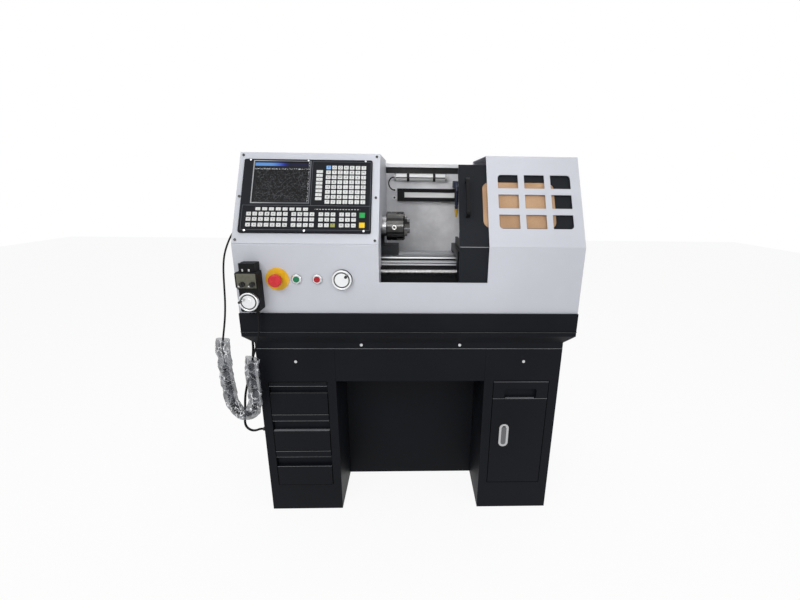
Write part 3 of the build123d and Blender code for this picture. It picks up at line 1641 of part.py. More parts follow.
stand_screw_z = stand_height - stand_screw_drop
pan_screw_x = knee_half - pan_screw_inset
heads = []
for side in (-1, 1):
    for screw_x, screw_z in ((door_centre_x, stand_screw_z), (pan_screw_x, stand_height + pan_screw_rise)):
        heads.append(
            rod_y(side * screw_x, stand_inset - stand_screw_thick, stand_inset, screw_z, stand_screw_radius),
        )
plate_low = plate_foot + plate_screw_inset
plate_high = slant_length - plate_screw_inset
for screw_x in (plate_screw_inset - half_width, work_left - plate_screw_inset):
    for screw_s in (plate_low, (plate_low + plate_high) / 2, plate_high):
        heads.append(
            slant_peg(screw_x, screw_s, plate_thick, plate_thick + plate_screw_thick, plate_screw_radius),
        )
for screw_x in (bezel_left + bezel_screw_side, bezel_mid[0], bezel_right - bezel_screw_side):
    for screw_s in (bezel_low + bezel_screw_inset, bezel_top - bezel_screw_inset):
        heads.append(
            slant_peg(screw_x, screw_s, bezel_face, bezel_face + bezel_screw_thick, bezel_screw_radius),
        )
save("cover_screws", Compound(heads))
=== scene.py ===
import math

import bmesh
import bpy
from mathutils import Matrix, Vector, noise


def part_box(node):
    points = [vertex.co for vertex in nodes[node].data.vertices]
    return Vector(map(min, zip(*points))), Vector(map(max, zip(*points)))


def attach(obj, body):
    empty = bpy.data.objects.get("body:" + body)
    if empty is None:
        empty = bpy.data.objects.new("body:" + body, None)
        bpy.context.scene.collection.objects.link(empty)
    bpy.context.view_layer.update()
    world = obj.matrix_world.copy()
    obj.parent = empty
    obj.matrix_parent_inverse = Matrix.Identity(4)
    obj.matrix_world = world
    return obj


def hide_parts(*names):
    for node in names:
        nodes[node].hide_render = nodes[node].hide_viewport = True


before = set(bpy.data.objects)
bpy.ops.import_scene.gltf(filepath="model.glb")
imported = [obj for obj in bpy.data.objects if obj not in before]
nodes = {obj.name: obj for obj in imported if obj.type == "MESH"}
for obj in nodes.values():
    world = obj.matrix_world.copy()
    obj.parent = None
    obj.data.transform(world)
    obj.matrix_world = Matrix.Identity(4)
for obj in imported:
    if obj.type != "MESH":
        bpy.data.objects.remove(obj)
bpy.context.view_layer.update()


# The stand is two folded sheet pedestals with a bridge between them, sprayed in a fine textured
# blue-black powder coat. Its finish is the first one made, so the wires that all finishes are
# written with stand here too.
class Wire:
    """One output of a shader node, so that sums of outputs read as sums."""

    def __init__(self, socket):
        self.socket = socket
        self.tree = socket.id_data

    def make(self, kind, settings, inputs, output=0):
        """Any node: its settings first, then the values or wires of its sockets."""
        node = self.tree.nodes.new(kind)
        for name, value in settings.items():
            setattr(node, name, value)
        for name, value in inputs.items():
            if isinstance(value, Wire):
                self.tree.links.new(value.socket, node.inputs[name])
            else:
                node.inputs[name].default_value = value
        return Wire(node.outputs[output])

    def sum_of(self, operation, first, second):
        return self.make("ShaderNodeMath", {"operation": operation}, {0: first, 1: second})

    def __add__(self, other):
        return self.sum_of("ADD", self, other)

    def __sub__(self, other):
        return self.sum_of("SUBTRACT", self, other)

    def __rsub__(self, other):
        return self.sum_of("SUBTRACT", other, self)

    def __mul__(self, other):
        return self.sum_of("MULTIPLY", self, other)

    def __gt__(self, other):
        return self.sum_of("GREATER_THAN", self, other)

    def __lt__(self, other):
        return self.sum_of("LESS_THAN", self, other)

    def size(self):
        return self.sum_of("ABSOLUTE", self, 0.0)

    def ripple(self, half):
        """A zigzag from 0 to half a wave's length and back."""
        return self.sum_of("PINGPONG", self, half)

    def part(self, axis):
        """One of the three numbers of a place."""
        return self.make("ShaderNodeSeparateXYZ", {}, {0: self}, "XYZ".index(axis))

    def reach(self, across, centre):
        """Distance from a line through a centre, counted along the axes whose number is 1."""
        flat = self.make("ShaderNodeVectorMath", {"operation": "MULTIPLY_ADD"}, {
            0: self, 1: across, 2: tuple(-part for part in centre)})
        return flat.make("ShaderNodeVectorMath", {"operation": "LENGTH"}, {0: flat}, "Value")

    def grain(self, scale, detail=2.0, roughness=0.5, stretch=None):
        """Noise from 0 to 1 at this place, with cells of about 1 / scale metres."""
        place = self if stretch is None else self.make(
            "ShaderNodeVectorMath", {"operation": "MULTIPLY"}, {0: self, 1: stretch})
        return place.make("ShaderNodeTexNoise", {}, {
            "Vector": place, "Scale": scale, "Detail": detail, "Roughness": roughness})

    def ramp(self, low, high, bottom=0.0, top=1.0):
        """This value carried from one range to another, without overshoot."""
        return self.make("ShaderNodeMapRange", {"interpolation_type": "SMOOTHSTEP"}, {
            "Value": self, "From Min": low, "From Max": high, "To Min": bottom, "To Max": top})

    def spread(self, bottom=0.0, top=1.0):
        """Noise, which keeps to the middle, stretched over a whole range."""
        return self.ramp(0.3, 0.7, bottom, top)

    def between(self, low, high, soft):
        """1 inside a span and 0 outside it."""
        return self.ramp(low - soft, low + soft) * (1 - self.ramp(high - soft, high + soft))

    def tint(self, first, second):
        """From one colour to the other as this value goes from 0 to 1."""
        first, second = (
            colour if isinstance(colour, Wire) else (*colour, 1) for colour in (first, second))
        return self.make("ShaderNodeMix", {"data_type": "RGBA"}, {0: self, 6: first, 7: second}, 2)


class Finish:
    """A material with one shader, and the place on the piece that its patterns are read at."""

    def __init__(self, name, **constants):
        self.material = bpy.data.materials.new(name)
        self.material.use_nodes = True
        tree = self.material.node_tree
        self.shader = tree.nodes["Principled BSDF"]
        self.place = Wire(tree.nodes.new("ShaderNodeTexCoord").outputs["Object"])
        for key, value in constants.items():
            socket = self.shader.inputs[key.replace("_", " ").title().replace("Ior", "IOR")]
            socket.default_value = (*value, 1) if isinstance(value, tuple) and len(value) == 3 else value

    def vary(self, socket, wire):
        """Feeds one socket of the shader."""
        wire.tree.links.new(wire.socket, self.shader.inputs[socket])
        return self

    def bump(self, height, depth):
        """Relief of this many metres."""
        relief = height.make("ShaderNodeBump", {}, {"Height": height, "Distance": depth})
        return self.vary("Normal", relief)

    def overlay(self, mask, colour):
        """Another colour over the present one, where the mask is 1."""
        present = Wire(self.shader.inputs["Base Color"].links[0].from_socket)
        return self.vary("Base Color", mask.tint(present, colour))

    def on(self, *pieces):
        """Puts the material on nodes, given by name, or on pieces made here."""
        for piece in pieces:
            mesh = (nodes[piece] if isinstance(piece, str) else piece).data
            mesh.materials.clear()
            mesh.materials.append(self.material)
        return self


dull_shine = 0.10
edge_highlight = (0.22, 0.225, 0.24)
highlight_half, highlight_soft = 0.0007, 0.0003
stand_face = -0.155


def painted(
        name, colour, roughness, pimple, depth, mottle, dust=None, edges=(), highlight=edge_highlight,
        face=stand_face):
    """Powder coat: orange peel at the size of a pimple, a cloudy change of shade, and painted highlights
    along level edges at these heights in front of a face, where a fold would catch the light."""
    coat = Finish(name, specular_ior_level=dull_shine)
    cloud = coat.place.grain(3.5, 4.0, 0.6)
    shade = tuple(channel * (1 - mottle) for channel in colour)
    tone = cloud.spread().tint(shade, colour)
    if dust:
        specks = coat.place.grain(420, 2.0).ramp(0.70, 0.78) * coat.place.grain(9, 3.0).ramp(0.45, 0.7)
        tone = specks.tint(tone, dust)
    front = coat.place.part("Y") < face
    # Bright lines at these edge heights are painted highlights of folded edges.
    for height in edges:
        line = coat.place.part("Z").between(height - highlight_half, height + highlight_half, highlight_soft)
        tone = (line * front * cloud.ramp(0.2, 0.6, 0.5, 1.0)).tint(tone, highlight)
    coat.vary("Base Color", tone)
    peel = coat.place.grain(1 / pimple, 2.0)
    coat.vary("Roughness", cloud.ramp(0.25, 0.75, roughness - 0.06, roughness + 0.06))
    return coat.bump(peel, depth)


dark_coat = (0.0070, 0.0080, 0.0112)
dark_dust = (0.030, 0.033, 0.040)
stand_edges = (0.6617,)


def stand_painted(name, edges):
    """The stand's own coat on one of its pieces, with painted highlights along that piece's edges."""
    return painted(
        name, dark_coat, roughness=0.5, pimple=0.0016, depth=0.00010, mottle=0.25, dust=dark_dust,
        edges=edges)


def soften(width, *names):
    """Rounds the sheet edges of these nodes, as a press brake leaves them."""
    for name in names:
        weld = nodes[name].modifiers.new("weld", "WELD")
        weld.merge_threshold = 0.00002
        bevel = nodes[name].modifiers.new("edge", "BEVEL")
        bevel.width = width
        bevel.segments = 2
        bevel.limit_method = "ANGLE"
        bevel.angle_limit = math.radians(40)
        bevel.use_clamp_overlap = True
        bevel.harden_normals = True


sheet_round = 0.0010
stand_pieces = ("left_pedestal", "right_pedestal", "stand_bridge")
# The stand's top edge carries a painted highlight line.
stand_painted("stand_coat", stand_edges).on(*stand_pieces)
soften(sheet_round, *stand_pieces)


# Three drawers and a cupboard door of the same folded sheet. The drawer fronts are rolled in to a
# finger grip, and the door has a pressed cup and a plated paddle latch.
# The drawer and cupboard door edges at these heights carry painted highlight lines.
drawer_edges = (0.5358, 0.5213, 0.4938, 0.4089, 0.3843, 0.3439, 0.2579, 0.2333, 0.1929, 0.1112)
leaf_edges = (0.5357, 0.4697)
stand_painted("drawer_coat", drawer_edges).on("drawer_upper", "drawer_middle", "drawer_lower")
stand_painted("leaf_coat", leaf_edges).on("cabinet_door")
for piece, plating in (("latch_body", (0.50, 0.505, 0.515)), ("latch_paddle", (0.15, 0.152, 0.158))):
    latch_plate = Finish(piece, metallic=1.0, base_color=plating)
    latch_smear = latch_plate.place.grain(140, 3.0, 0.6, (1, 1, 0.25))
    latch_plate.vary("Roughness", latch_smear.spread(0.10, 0.30)).on(piece)


# The chip pan is welded from the same sheet and coated with the stand. A painted highlight runs along the
# fold of its front.
pan_edges, pan_highlight, pan_face = (0.7305,), (0.36, 0.365, 0.38), -0.182
pan_coat = painted(
    "pan_coat", dark_coat, roughness=0.44, pimple=0.0018, depth=0.00010, mottle=0.3, dust=dark_dust,
    edges=pan_edges, highlight=pan_highlight, face=pan_face)
pan_coat.on("chip_tray")
soften(sheet_round, "chip_tray")


# A cast bed: painted webs, and ways that are ground bright along their length. The groove in the front way
# and the root of its vee are painted dark, as painted shade.
way_low, way_soft = 0.9305, 0.0004
groove_low, groove_high, groove_back = 0.9362, 0.9398, -0.06
root_low, root_high = 0.9452, 0.9512
root_front, root_back = -0.0574, -0.0480
bed_iron = Finish("bed_iron", specular_ior_level=0.15)
ground = bed_iron.place.part("Z").ramp(way_low - way_soft, way_low + way_soft)
grind_lines = bed_iron.place.grain(1.0, 3.0, 0.6, (6, 2600, 2600))
cast_grain = bed_iron.place.grain(260, 4.0, 0.6)
steel_tone = grind_lines.spread().tint((0.36, 0.37, 0.39), (0.62, 0.63, 0.65))
paint_tone = cast_grain.spread().tint((0.012, 0.013, 0.015), (0.025, 0.026, 0.029))
bed_y, bed_z = bed_iron.place.part("Y"), bed_iron.place.part("Z")
groove_shade = bed_z.between(groove_low, groove_high, 0.0001) * (bed_y < groove_back)
root_shade = bed_z.between(root_low, root_high, way_soft) * bed_y.between(root_front, root_back, 0.0002)
bed_tone = ground.tint(paint_tone, steel_tone)
# The groove and the root of the vee are darkened here as painted shade.
bed_iron.vary("Base Color", (groove_shade + root_shade).tint(bed_tone, (0.012, 0.011, 0.010)))
bed_iron.vary("Metallic", ground)
bed_iron.vary("Roughness", ground * (grind_lines * 0.18 - 0.30) + 0.55)
bed_iron.bump(ground * grind_lines * 0.15 + (1 - ground) * cast_grain, 0.00025)
bed_iron.on("bed")


# The lead screw is a rolled ball screw in front of the bed. Its rounded groove is cut here, since
# the solid is a plain bar, and its ends stay plain where they run in the bearing blocks.
screw_axis = Vector((0, -0.092, 0.912))
screw_radius = 0.008
screw_pitch = 0.005
screw_steps_a_turn = 10
screw_sides = 20
thread_depth, thread_run_in = 0.0007, 0.004
plain_left, plain_right = 0.048, 0.036
screw_low, screw_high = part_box("z_screw")


def tube_mesh(name, rings, closed_ends=True):
    """A skin over rings of points, each ring with as many points."""
    mesh = bpy.data.meshes.new(name)
    count = len(rings[0])
    points = [point for ring in rings for point in ring]
    faces = []
    for row in range(len(rings) - 1):
        for side in range(count):
            after = (side + 1) % count
            first, second = row * count, (row + 1) * count
            faces.append((first + side, first + after, second + after, second + side))
    if closed_ends:
        faces.append(tuple(reversed(range(count))))
        last = (len(rings) - 1) * count
        faces.append(tuple(last + side for side in range(count)))
    mesh.from_pydata(points, [], faces)
    mesh.shade_smooth()
    piece = bpy.data.objects.new(name, mesh)
    bpy.context.scene.collection.objects.link(piece)
    return piece


thread_start = screw_low[0] + plain_left
thread_end = screw_high[0] - plain_right
screw_length = screw_high[0] - screw_low[0]
screw_rows = round(screw_length / screw_pitch * screw_steps_a_turn)
screw_rings = []
for row in range(screw_rows + 1):
    ring_x = screw_low[0] + screw_length * row / screw_rows
    run_in = min(ring_x - thread_start, thread_end - ring_x) / thread_run_in
    run_in = min(1.0, max(0.0, run_in))
    ring = []
    for side in range(screw_sides):
        turn = 2 * math.pi * side / screw_sides
        groove = max(0.0, math.sin(2 * math.pi * ring_x / screw_pitch - turn))
        reach = screw_radius - thread_depth * groove * run_in
        ring.append(screw_axis + Vector((ring_x, reach * math.cos(turn), reach * math.sin(turn))))
    screw_rings.append(ring)
lead_screw = tube_mesh("lead_screw_thread", screw_rings)
screw_steel = Finish("screw_steel", metallic=1.0)
oil = screw_steel.place.grain(90, 3.0)
screw_steel.vary("Base Color", oil.spread().tint((0.34, 0.335, 0.33), (0.48, 0.485, 0.495)))
screw_steel.vary("Roughness", oil.spread(0.32, 0.44))
screw_steel.on(lead_screw, "x_screw", "z_screw")
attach(lead_screw, "lead_screw")
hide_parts("z_screw")


# The headstock is a painted casting bolted to the bed, with the spindle in ball bearings and a
# ribbed belt from the motor behind it. Only its nose shows in the work space.
head_paint = painted(
    "head_paint", (0.030, 0.032, 0.036), roughness=0.42, pimple=0.003, depth=0.00025, mottle=0.3)
head_paint.on("headstock")
motor_paint = painted(
    "motor_paint", (0.02, 0.02, 0.022), roughness=0.4, pimple=0.002, depth=0.0001, mottle=0.3)
motor_paint.on("spindle_motor", "z_motor", "x_motor")
spindle_axis = (0, 0.017, 1.055)
motor_axis = (0, 0.174, 1.04)


def turned(finish, axis, scale):
    """The fine rings that a lathe tool leaves round an axis along X, on rims and faces alike."""
    reach = finish.place.reach((0, 1, 1), axis)
    rings = reach.make("ShaderNodeCombineXYZ", {}, {"X": reach, "Y": finish.place.part("X")})
    return rings.grain(scale, 3.0, 0.65)


def turned_steel(name, dark, bright, low, high, axis=spindle_axis):
    """Bare machined steel with tool rings and a thin film of oil."""
    steel = Finish(name, metallic=1.0)
    rings = turned(steel, axis, 1400)
    film = steel.place.grain(30, 3.0)
    steel.vary("Base Color", (rings * 0.6 + film * 0.4).spread().tint(dark, bright))
    steel.vary("Roughness", (rings * 0.5 + film * 0.5).spread(low, high))
    return steel.bump(rings, 0.00004)


spindle_steel = turned_steel("spindle_steel", (0.30, 0.30, 0.31), (0.52, 0.52, 0.53), 0.22, 0.4)
spindle_steel.on("spindle", "spindle_bearings")
pulley_alloy = turned_steel(
    "pulley_alloy", (0.55, 0.56, 0.58), (0.75, 0.76, 0.78), 0.25, 0.4, motor_axis)
pulley_alloy.on("motor_pulley")
belt_rubber = Finish("belt_rubber", roughness=0.8)
belt_ribs = belt_rubber.place.part("X").ripple(0.0009)
belt_grain = belt_rubber.place.grain(200)
belt_rubber.vary("Base Color", belt_grain.tint((0.008, 0.008, 0.008), (0.02, 0.02, 0.02)))
belt_rubber.bump(belt_ribs * 800, 0.0005).on("drive_belt")


# The three-jaw chuck: a turned and ground body, dark with oil, with bright pinion ends round its
# key sockets, and three hardened stepped jaws.
chuck_steel = turned_steel("chuck_steel", (0.020, 0.0197, 0.0194), (0.085, 0.084, 0.083), 0.14, 0.26)
key_socket_x = -0.058
pinion_half = 0.0079
pinion_low, pinion_high = 0.0480, 0.0489
socket_x = (chuck_steel.place.part("X") - key_socket_x).size()
chuck_y = chuck_steel.place.part("Y") - spindle_axis[1]
chuck_z = chuck_steel.place.part("Z") - spindle_axis[2]
pinion_ends = 0
for turn in (90, 210, 330):
    out_y, out_z = -math.sin(math.radians(turn)), math.cos(math.radians(turn))
    across = (chuck_y * out_z - chuck_z * out_y).size()
    outward = chuck_y * out_y + chuck_z * out_z
    pinion_end = (socket_x < pinion_half) * (across < pinion_half)
    pinion_ends = pinion_end * outward.between(pinion_low, pinion_high, 0.0001) + pinion_ends
chuck_steel.overlay(pinion_ends, (0.80, 0.79, 0.78)).on("chuck_body")
jaw_steel = Finish("jaw_steel", metallic=1.0)
jaw_lines = jaw_steel.place.grain(1.0, 3.0, 0.6, (2400, 160, 160))
jaw_steel.vary("Base Color", jaw_lines.spread().tint((0.035, 0.034, 0.033), (0.12, 0.118, 0.115)))
jaw_steel.vary("Roughness", jaw_lines.spread(0.2, 0.38))
jaw_steel.on("chuck_jaw_1", "chuck_jaw_2", "chuck_jaw_3")


# Saddle and cross slide are castings painted dark all over. The four-way tool post is blackened
# steel.
slide_paint = painted(
    "slide_paint", (0.014, 0.015, 0.017), roughness=0.38, pimple=0.0025, depth=0.0002, mottle=0.3)
slide_paint.on("saddle", "cross_slide")
black_oxide = Finish("black_oxide", metallic=0.85)
oxide_cloud = black_oxide.place.grain(60, 4.0, 0.6)
oxide_tone = oxide_cloud.spread().tint((0.022, 0.023, 0.025), (0.065, 0.065, 0.068))
black_oxide.vary("Base Color", oxide_tone)
black_oxide.vary("Roughness", oxide_cloud.spread(0.28, 0.48))
black_oxide.on("tool_post")


# The enclosure is folded from light sheet and coated pale cool grey. The rear wall is smoother inside and
# clouded by coolant mist, with a painted shadow band under the hood and a hood lip painted brighter than
# the coat as a painted highlight.
pale = (0.585, 0.60, 0.655)
hood_shadow_low, hood_shadow_high = 1.242, 1.2763
wall_inner_face, hood_lip_back = 0.2462, 0.2212
enclosure_coat = painted(
    "enclosure_coat", pale, roughness=0.40, pimple=0.0022, depth=0.00006, mottle=0.05)
enclosure_coat.on("left_housing", "right_housing", "front_sill", "rear_cover", "control_plate")
wall_coat = painted("wall_coat", pale, roughness=0.30, pimple=0.004, depth=0.00005, mottle=0.25)
wall_mist = wall_coat.place.grain(7, 4.0, 0.6)
wall_tone = wall_mist.spread().tint((0.62, 0.62, 0.64), (0.84, 0.84, 0.86))
# A band under the hood is painted near black as painted shadow.
hood_shadow = wall_coat.place.part("Z").between(hood_shadow_low, hood_shadow_high, 0.0002)
hood_shadow = hood_shadow * wall_mist.ramp(0.2, 0.7, 0.97, 1.0)
wall_tone = hood_shadow.tint(wall_tone, (0.012, 0.012, 0.013))
wall_inside = wall_coat.place.part("Y") < wall_inner_face
# The hood lip has the outer coat, painted brighter than it as a painted highlight.
hood_lip_highlight = wall_coat.place.part("Y") < hood_lip_back
wall_tone = hood_lip_highlight.tint(wall_inside.tint(pale, wall_tone), (0.80, 0.81, 0.83))
wall_coat.vary("Base Color", wall_tone).on("rear_wall")


# A flat panel lamp in a black frame, and a white tube lamp in two clips above it, both screwed to
# the rear wall.
def patch(across, up, box, soft):
    """1 inside a box of a face, which is given by its left, right, low and high sides."""
    left, right, low, high = box
    return across.between(left, right, soft) * up.between(low, high, soft)


lens_box, lens_soft, lens_rib = (-0.0275, 0.1735, 1.1495, 1.1695), 0.0004, 0.0015
lamp_frame = Finish("lamp_frame", specular_ior_level=0.08)
lamp_x = lamp_frame.place.part("X")
lens = patch(lamp_x, lamp_frame.place.part("Z"), lens_box, lens_soft)
lens_ribs = lamp_x.ripple(lens_rib)
lamp_grain = lamp_frame.place.grain(500)
lamp_dark = lamp_grain.tint((0.004, 0.004, 0.0045), (0.009, 0.009, 0.010))
lamp_frame.vary("Base Color", lens.tint(lamp_dark, (0.86, 0.87, 0.86)))
lamp_frame.vary("Roughness", lens.ramp(0, 1, 0.42, 0.25))
lamp_frame.bump(lens * lens_ribs * 500 + lamp_grain * 0.1, 0.0004).on("work_lamp")
tube_left, tube_right = -0.060, 0.133
shade_band_low, shade_band_high, shade_band_soft = 1.2225, 1.2275, 0.0012
tube_white = Finish("tube_white", roughness=0.22)
tube_caps = 1 - tube_white.place.part("X").between(tube_left, tube_right, 0.0003)
tube_glass = tube_white.place.grain(14).tint((0.70, 0.71, 0.71), (0.80, 0.81, 0.81))
# A dark band along the tube's middle is painted shade of the round tube.
tube_shade_band = tube_white.place.part("Z").between(shade_band_low, shade_band_high, shade_band_soft)
tube_tone = tube_shade_band.tint(tube_glass, (0.05, 0.05, 0.052))
tube_white.vary("Base Color", tube_caps.tint(tube_tone, (0.40, 0.40, 0.405)))
tube_white.on("tube_lamp")
clip_plastic = Finish("clip_plastic", roughness=0.45, specular_ior_level=dull_shine)
clip_grain = clip_plastic.place.grain(300)
clip_plastic.vary("Base Color", clip_grain.tint((0.012, 0.012, 0.013), (0.03, 0.03, 0.032)))
tube_low, tube_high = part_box("tube_lamp")
tube_centre = [(a + b) / 2 for a, b in zip(tube_low, tube_high)]
tube_radius = (tube_high[2] - tube_low[2]) / 2
clip_places = (-0.013, 0.090)
clip_half, clip_inner, clip_outer = 0.005, 0.0002, 0.0022
clip_steps, clip_half_turn = 32, 120
clip_corners = (
    (-clip_half, clip_inner), (clip_half, clip_inner), (clip_half, clip_outer), (-clip_half, clip_outer))
for index, clip_x in enumerate(clip_places):
    clip_rings = []
    for step in range(clip_steps + 1):
        turn = math.radians(-clip_half_turn + 2 * clip_half_turn * step / clip_steps)
        ring = []
        for side_x, reach in clip_corners:
            radius = tube_radius + reach
            clip_y = tube_centre[1] - radius * math.cos(turn)
            clip_z = tube_centre[2] + radius * math.sin(turn)
            ring.append((clip_x + side_x, clip_y, clip_z))
        clip_rings.append(ring)
    clip = tube_mesh(f"tube_clip_{index + 1}", clip_rings)
    clip.data.shade_flat()
    clip_plastic.on(clip)
    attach(clip, "base")


# The coolant hose is a stiff plastic one, dark blue, that hangs in front of the rear wall, with a
# yellow nozzle screwed on its end.
nozzle_top, nozzle_soft = 1.108, 0.0005
hose_plastic = Finish("hose_plastic")
hose_tip = 1 - hose_plastic.place.part("Z").ramp(nozzle_top - nozzle_soft, nozzle_top + nozzle_soft)
hose_cloud = hose_plastic.place.grain(80)
hose_plastic.vary("Base Color", hose_tip.tint(
    hose_cloud.tint((0.010, 0.014, 0.035), (0.018, 0.024, 0.055)), (0.75, 0.46, 0.03)))
hose_plastic.vary("Roughness", hose_cloud.spread(0.3, 0.48)).on("coolant_nozzle")


# The control panel: a moulded charcoal bezel on the sloping plate, a dark display still under its
# crinkled film, and two fields of domed keys on a printed membrane, with a row of small indicator
# windows above the operator keys.
fold_y, fold_z = -0.183, 1.012
slope_run, slope_rise = 0.148, 0.278
slope = math.atan2(slope_run, slope_rise)
print_soft = 0.0002


def up_slope(place):
    """Distance up the sloping front from the fold."""
    return (place.part("Y") - fold_y) * math.sin(slope) + (place.part("Z") - fold_z) * math.cos(slope)


def off_slope(place):
    """Distance out from the sloping front."""
    return (place.part("Z") - fold_z) * math.sin(slope) - (place.part("Y") - fold_y) * math.cos(slope)


def on_slope(x, s, n):
    """A point of the sloping front, from its place across, up and out."""
    return Vector((x, fold_y + s * math.sin(slope) - n * math.cos(slope),
                   fold_z + s * math.cos(slope) + n * math.sin(slope)))


def border(across, up, box, width):
    """1 on a band of this width just outside a box of the sloping front."""
    left, right, low, high = box
    outer_box = (left - width, right + width, low - width, high + width)
    return patch(across, up, outer_box, print_soft) * (1 - patch(across, up, box, print_soft))


bezel_plastic = Finish("bezel_plastic", specular_ior_level=0.08)
bezel_grain = bezel_plastic.place.grain(900, 2.0)
bezel_cloud = bezel_plastic.place.grain(12, 3.0)
bezel_tone = bezel_cloud.tint((0.0085, 0.0095, 0.0130), (0.0125, 0.0140, 0.0185))
bezel_x = bezel_plastic.place.part("X")
bezel_s = up_slope(bezel_plastic.place)
screen_box, screen_rim_width = (-0.4975, -0.3225, 0.1375, 0.2785), 0.0035
rim_highlight_fade = (-0.490, -0.400)
key_boxes = ((-0.5225, -0.1295, 0.0475, 0.1265), (-0.3135, -0.1295, 0.1285, 0.2785))
key_rim_width = 0.0014
# A light frame round the screen is a painted highlight of its edge, brightest on the left.
screen_rim_highlight = border(bezel_x, bezel_s, screen_box, screen_rim_width)
rim_highlight_tone = bezel_x.ramp(*rim_highlight_fade).tint((0.34, 0.345, 0.36), (0.13, 0.135, 0.15))
bezel_tone = screen_rim_highlight.tint(bezel_tone, rim_highlight_tone)
for key_box in key_boxes:
    key_rim = border(bezel_x, bezel_s, key_box, key_rim_width)
    bezel_tone = key_rim.tint(bezel_tone, (0.085, 0.09, 0.105))
bezel_plastic.vary("Base Color", bezel_tone)
bezel_plastic.vary("Roughness", bezel_grain.spread(0.42, 0.6))
bezel_plastic.bump(bezel_grain, 0.00008).on("panel_bezel")

screen_glass = Finish("screen_glass", specular_ior_level=dull_shine)
screen_s = up_slope(screen_glass.place)
screen_x = screen_glass.place.part("X")
crinkle = screen_glass.place.grain(70, 1.5, 0.5)
fine_crinkle = screen_glass.place.grain(130, 1.0, 0.5)
crease = (1 - (crinkle * 2 - 1).size() * 9).ramp(0.3, 1.0)
crease = crease + (1 - (fine_crinkle * 2 - 1).size() * 9).ramp(0.4, 1.0)
display_box, display_soft = (-0.4895, -0.3285, 0.1435, 0.2520), 0.0006
strip_span, strip_end, strip_fade = (0.2635, 0.2745), (-0.420, -0.385), (-0.450, -0.400)
film_top, film_right, film_soft = (0.2515, 0.2550), (-0.3275, -0.3248), 0.0008
display = patch(screen_x, screen_s, display_box, display_soft)
blue_strip = screen_s.between(*strip_span, display_soft) * screen_x.ramp(*strip_end, 1.0, 0.06)
screen_tone = display.tint((0.009, 0.0095, 0.012), (0.0025, 0.0025, 0.0032))
strip_blue = screen_x.ramp(*strip_fade).tint((0.11, 0.27, 0.62), (0.02, 0.035, 0.40))
screen_tone = blue_strip.tint(screen_tone, strip_blue)
screen_tone = (crease * display * 0.16).tint(screen_tone, (0.22, 0.23, 0.25))
# White specks along the film's top and right edges are painted glints.
film_edge = screen_s.between(*film_top, film_soft) + screen_x.between(*film_right, film_soft)
film_edge_glints = film_edge * screen_glass.place.grain(420, 2.0).ramp(0.54, 0.60)
screen_glass.vary("Base Color", film_edge_glints.tint(screen_tone, (0.75, 0.77, 0.80)))
screen_glass.vary("Roughness", crinkle.spread(0.30, 0.45))
screen_glass.bump(crinkle + fine_crinkle * 0.4, 0.0002).on("screen")

key_film = Finish("key_film", specular_ior_level=dull_shine)
film_n = off_slope(key_film.place)
film_s = up_slope(key_film.place)
film_x = key_film.place.part("X")
film_level, key_level = 0.01025, 0.0105
raised = film_n.ramp(film_level, key_level)
key_white = key_film.place.grain(20).tint((0.60, 0.61, 0.61), (0.70, 0.71, 0.70))
key_colours = (
    ((-0.2635, 0.2589), (0.0075, 0.0065), (0.22, 0.42, 0.75)),
    ((-0.2426, 0.0624), (0.0072, 0.0062), (0.32, 0.33, 0.10)),
    ((-0.1525, 0.0965), (0.0087, 0.0087), (0.03, 0.36, 0.09)),
    ((-0.1525, 0.0635), (0.0087, 0.0087), (0.80, 0.55, 0.03)),
)
key_tone = key_white
for (key_x, key_s), (half_x, half_s), colour in key_colours:
    key_box = (key_x - half_x, key_x + half_x, key_s - half_s, key_s + half_s)
    key_tone = patch(film_x, film_s, key_box, print_soft).tint(key_tone, colour)
film_dark = key_film.place.grain(300).tint((0.006, 0.0065, 0.009), (0.009, 0.010, 0.013))
window_heights, window_row = (0.1143, 0.1167), (-0.300, -0.160)
window_half_step, window_gap = 0.0045, 0.0018
indicators = film_s.between(*window_heights, print_soft) * film_x.between(*window_row, 0.0003)
indicators = indicators * (film_x.ripple(window_half_step) > window_gap)
film_dark = indicators.tint(film_dark, (0.55, 0.55, 0.54))
key_film.vary("Base Color", raised.tint(film_dark, key_tone))
key_film.vary("Roughness", raised.ramp(0, 1, 0.55, 0.38)).on("keypad")


# Legends on the keys: single letters, digits and plain signs, printed in dark ink as one flat mesh
# just above the key tops.
def glyph(text, size):
    """The outline of a letter or digit as a flat mesh about the origin."""
    curve = bpy.data.curves.new("glyph", "FONT")
    curve.body = text
    curve.size = size
    curve.align_x = "CENTER"
    curve.align_y = "CENTER"
    curve.resolution_u = 2
    holder = bpy.data.objects.new("glyph", curve)
    mesh = bpy.data.meshes.new_from_object(holder)
    bpy.data.objects.remove(holder)
    return mesh


slope_turn = Matrix((
    (1, 0, 0), (0, math.sin(slope), -math.cos(slope)), (0, math.cos(slope), math.sin(slope))))
key_face = 0.01125
legends = bmesh.new()
glyphs = {}


def print_key(text, x, s, size):
    """One legend on a key of the sloping panel."""
    if (text, size) not in glyphs:
        glyphs[text, size] = glyph(text, size)
    copy = glyphs[text, size].copy()
    copy.transform(Matrix.Translation(on_slope(x, s, key_face)) @ slope_turn.to_4x4())
    legends.from_mesh(copy)
    bpy.data.meshes.remove(copy)


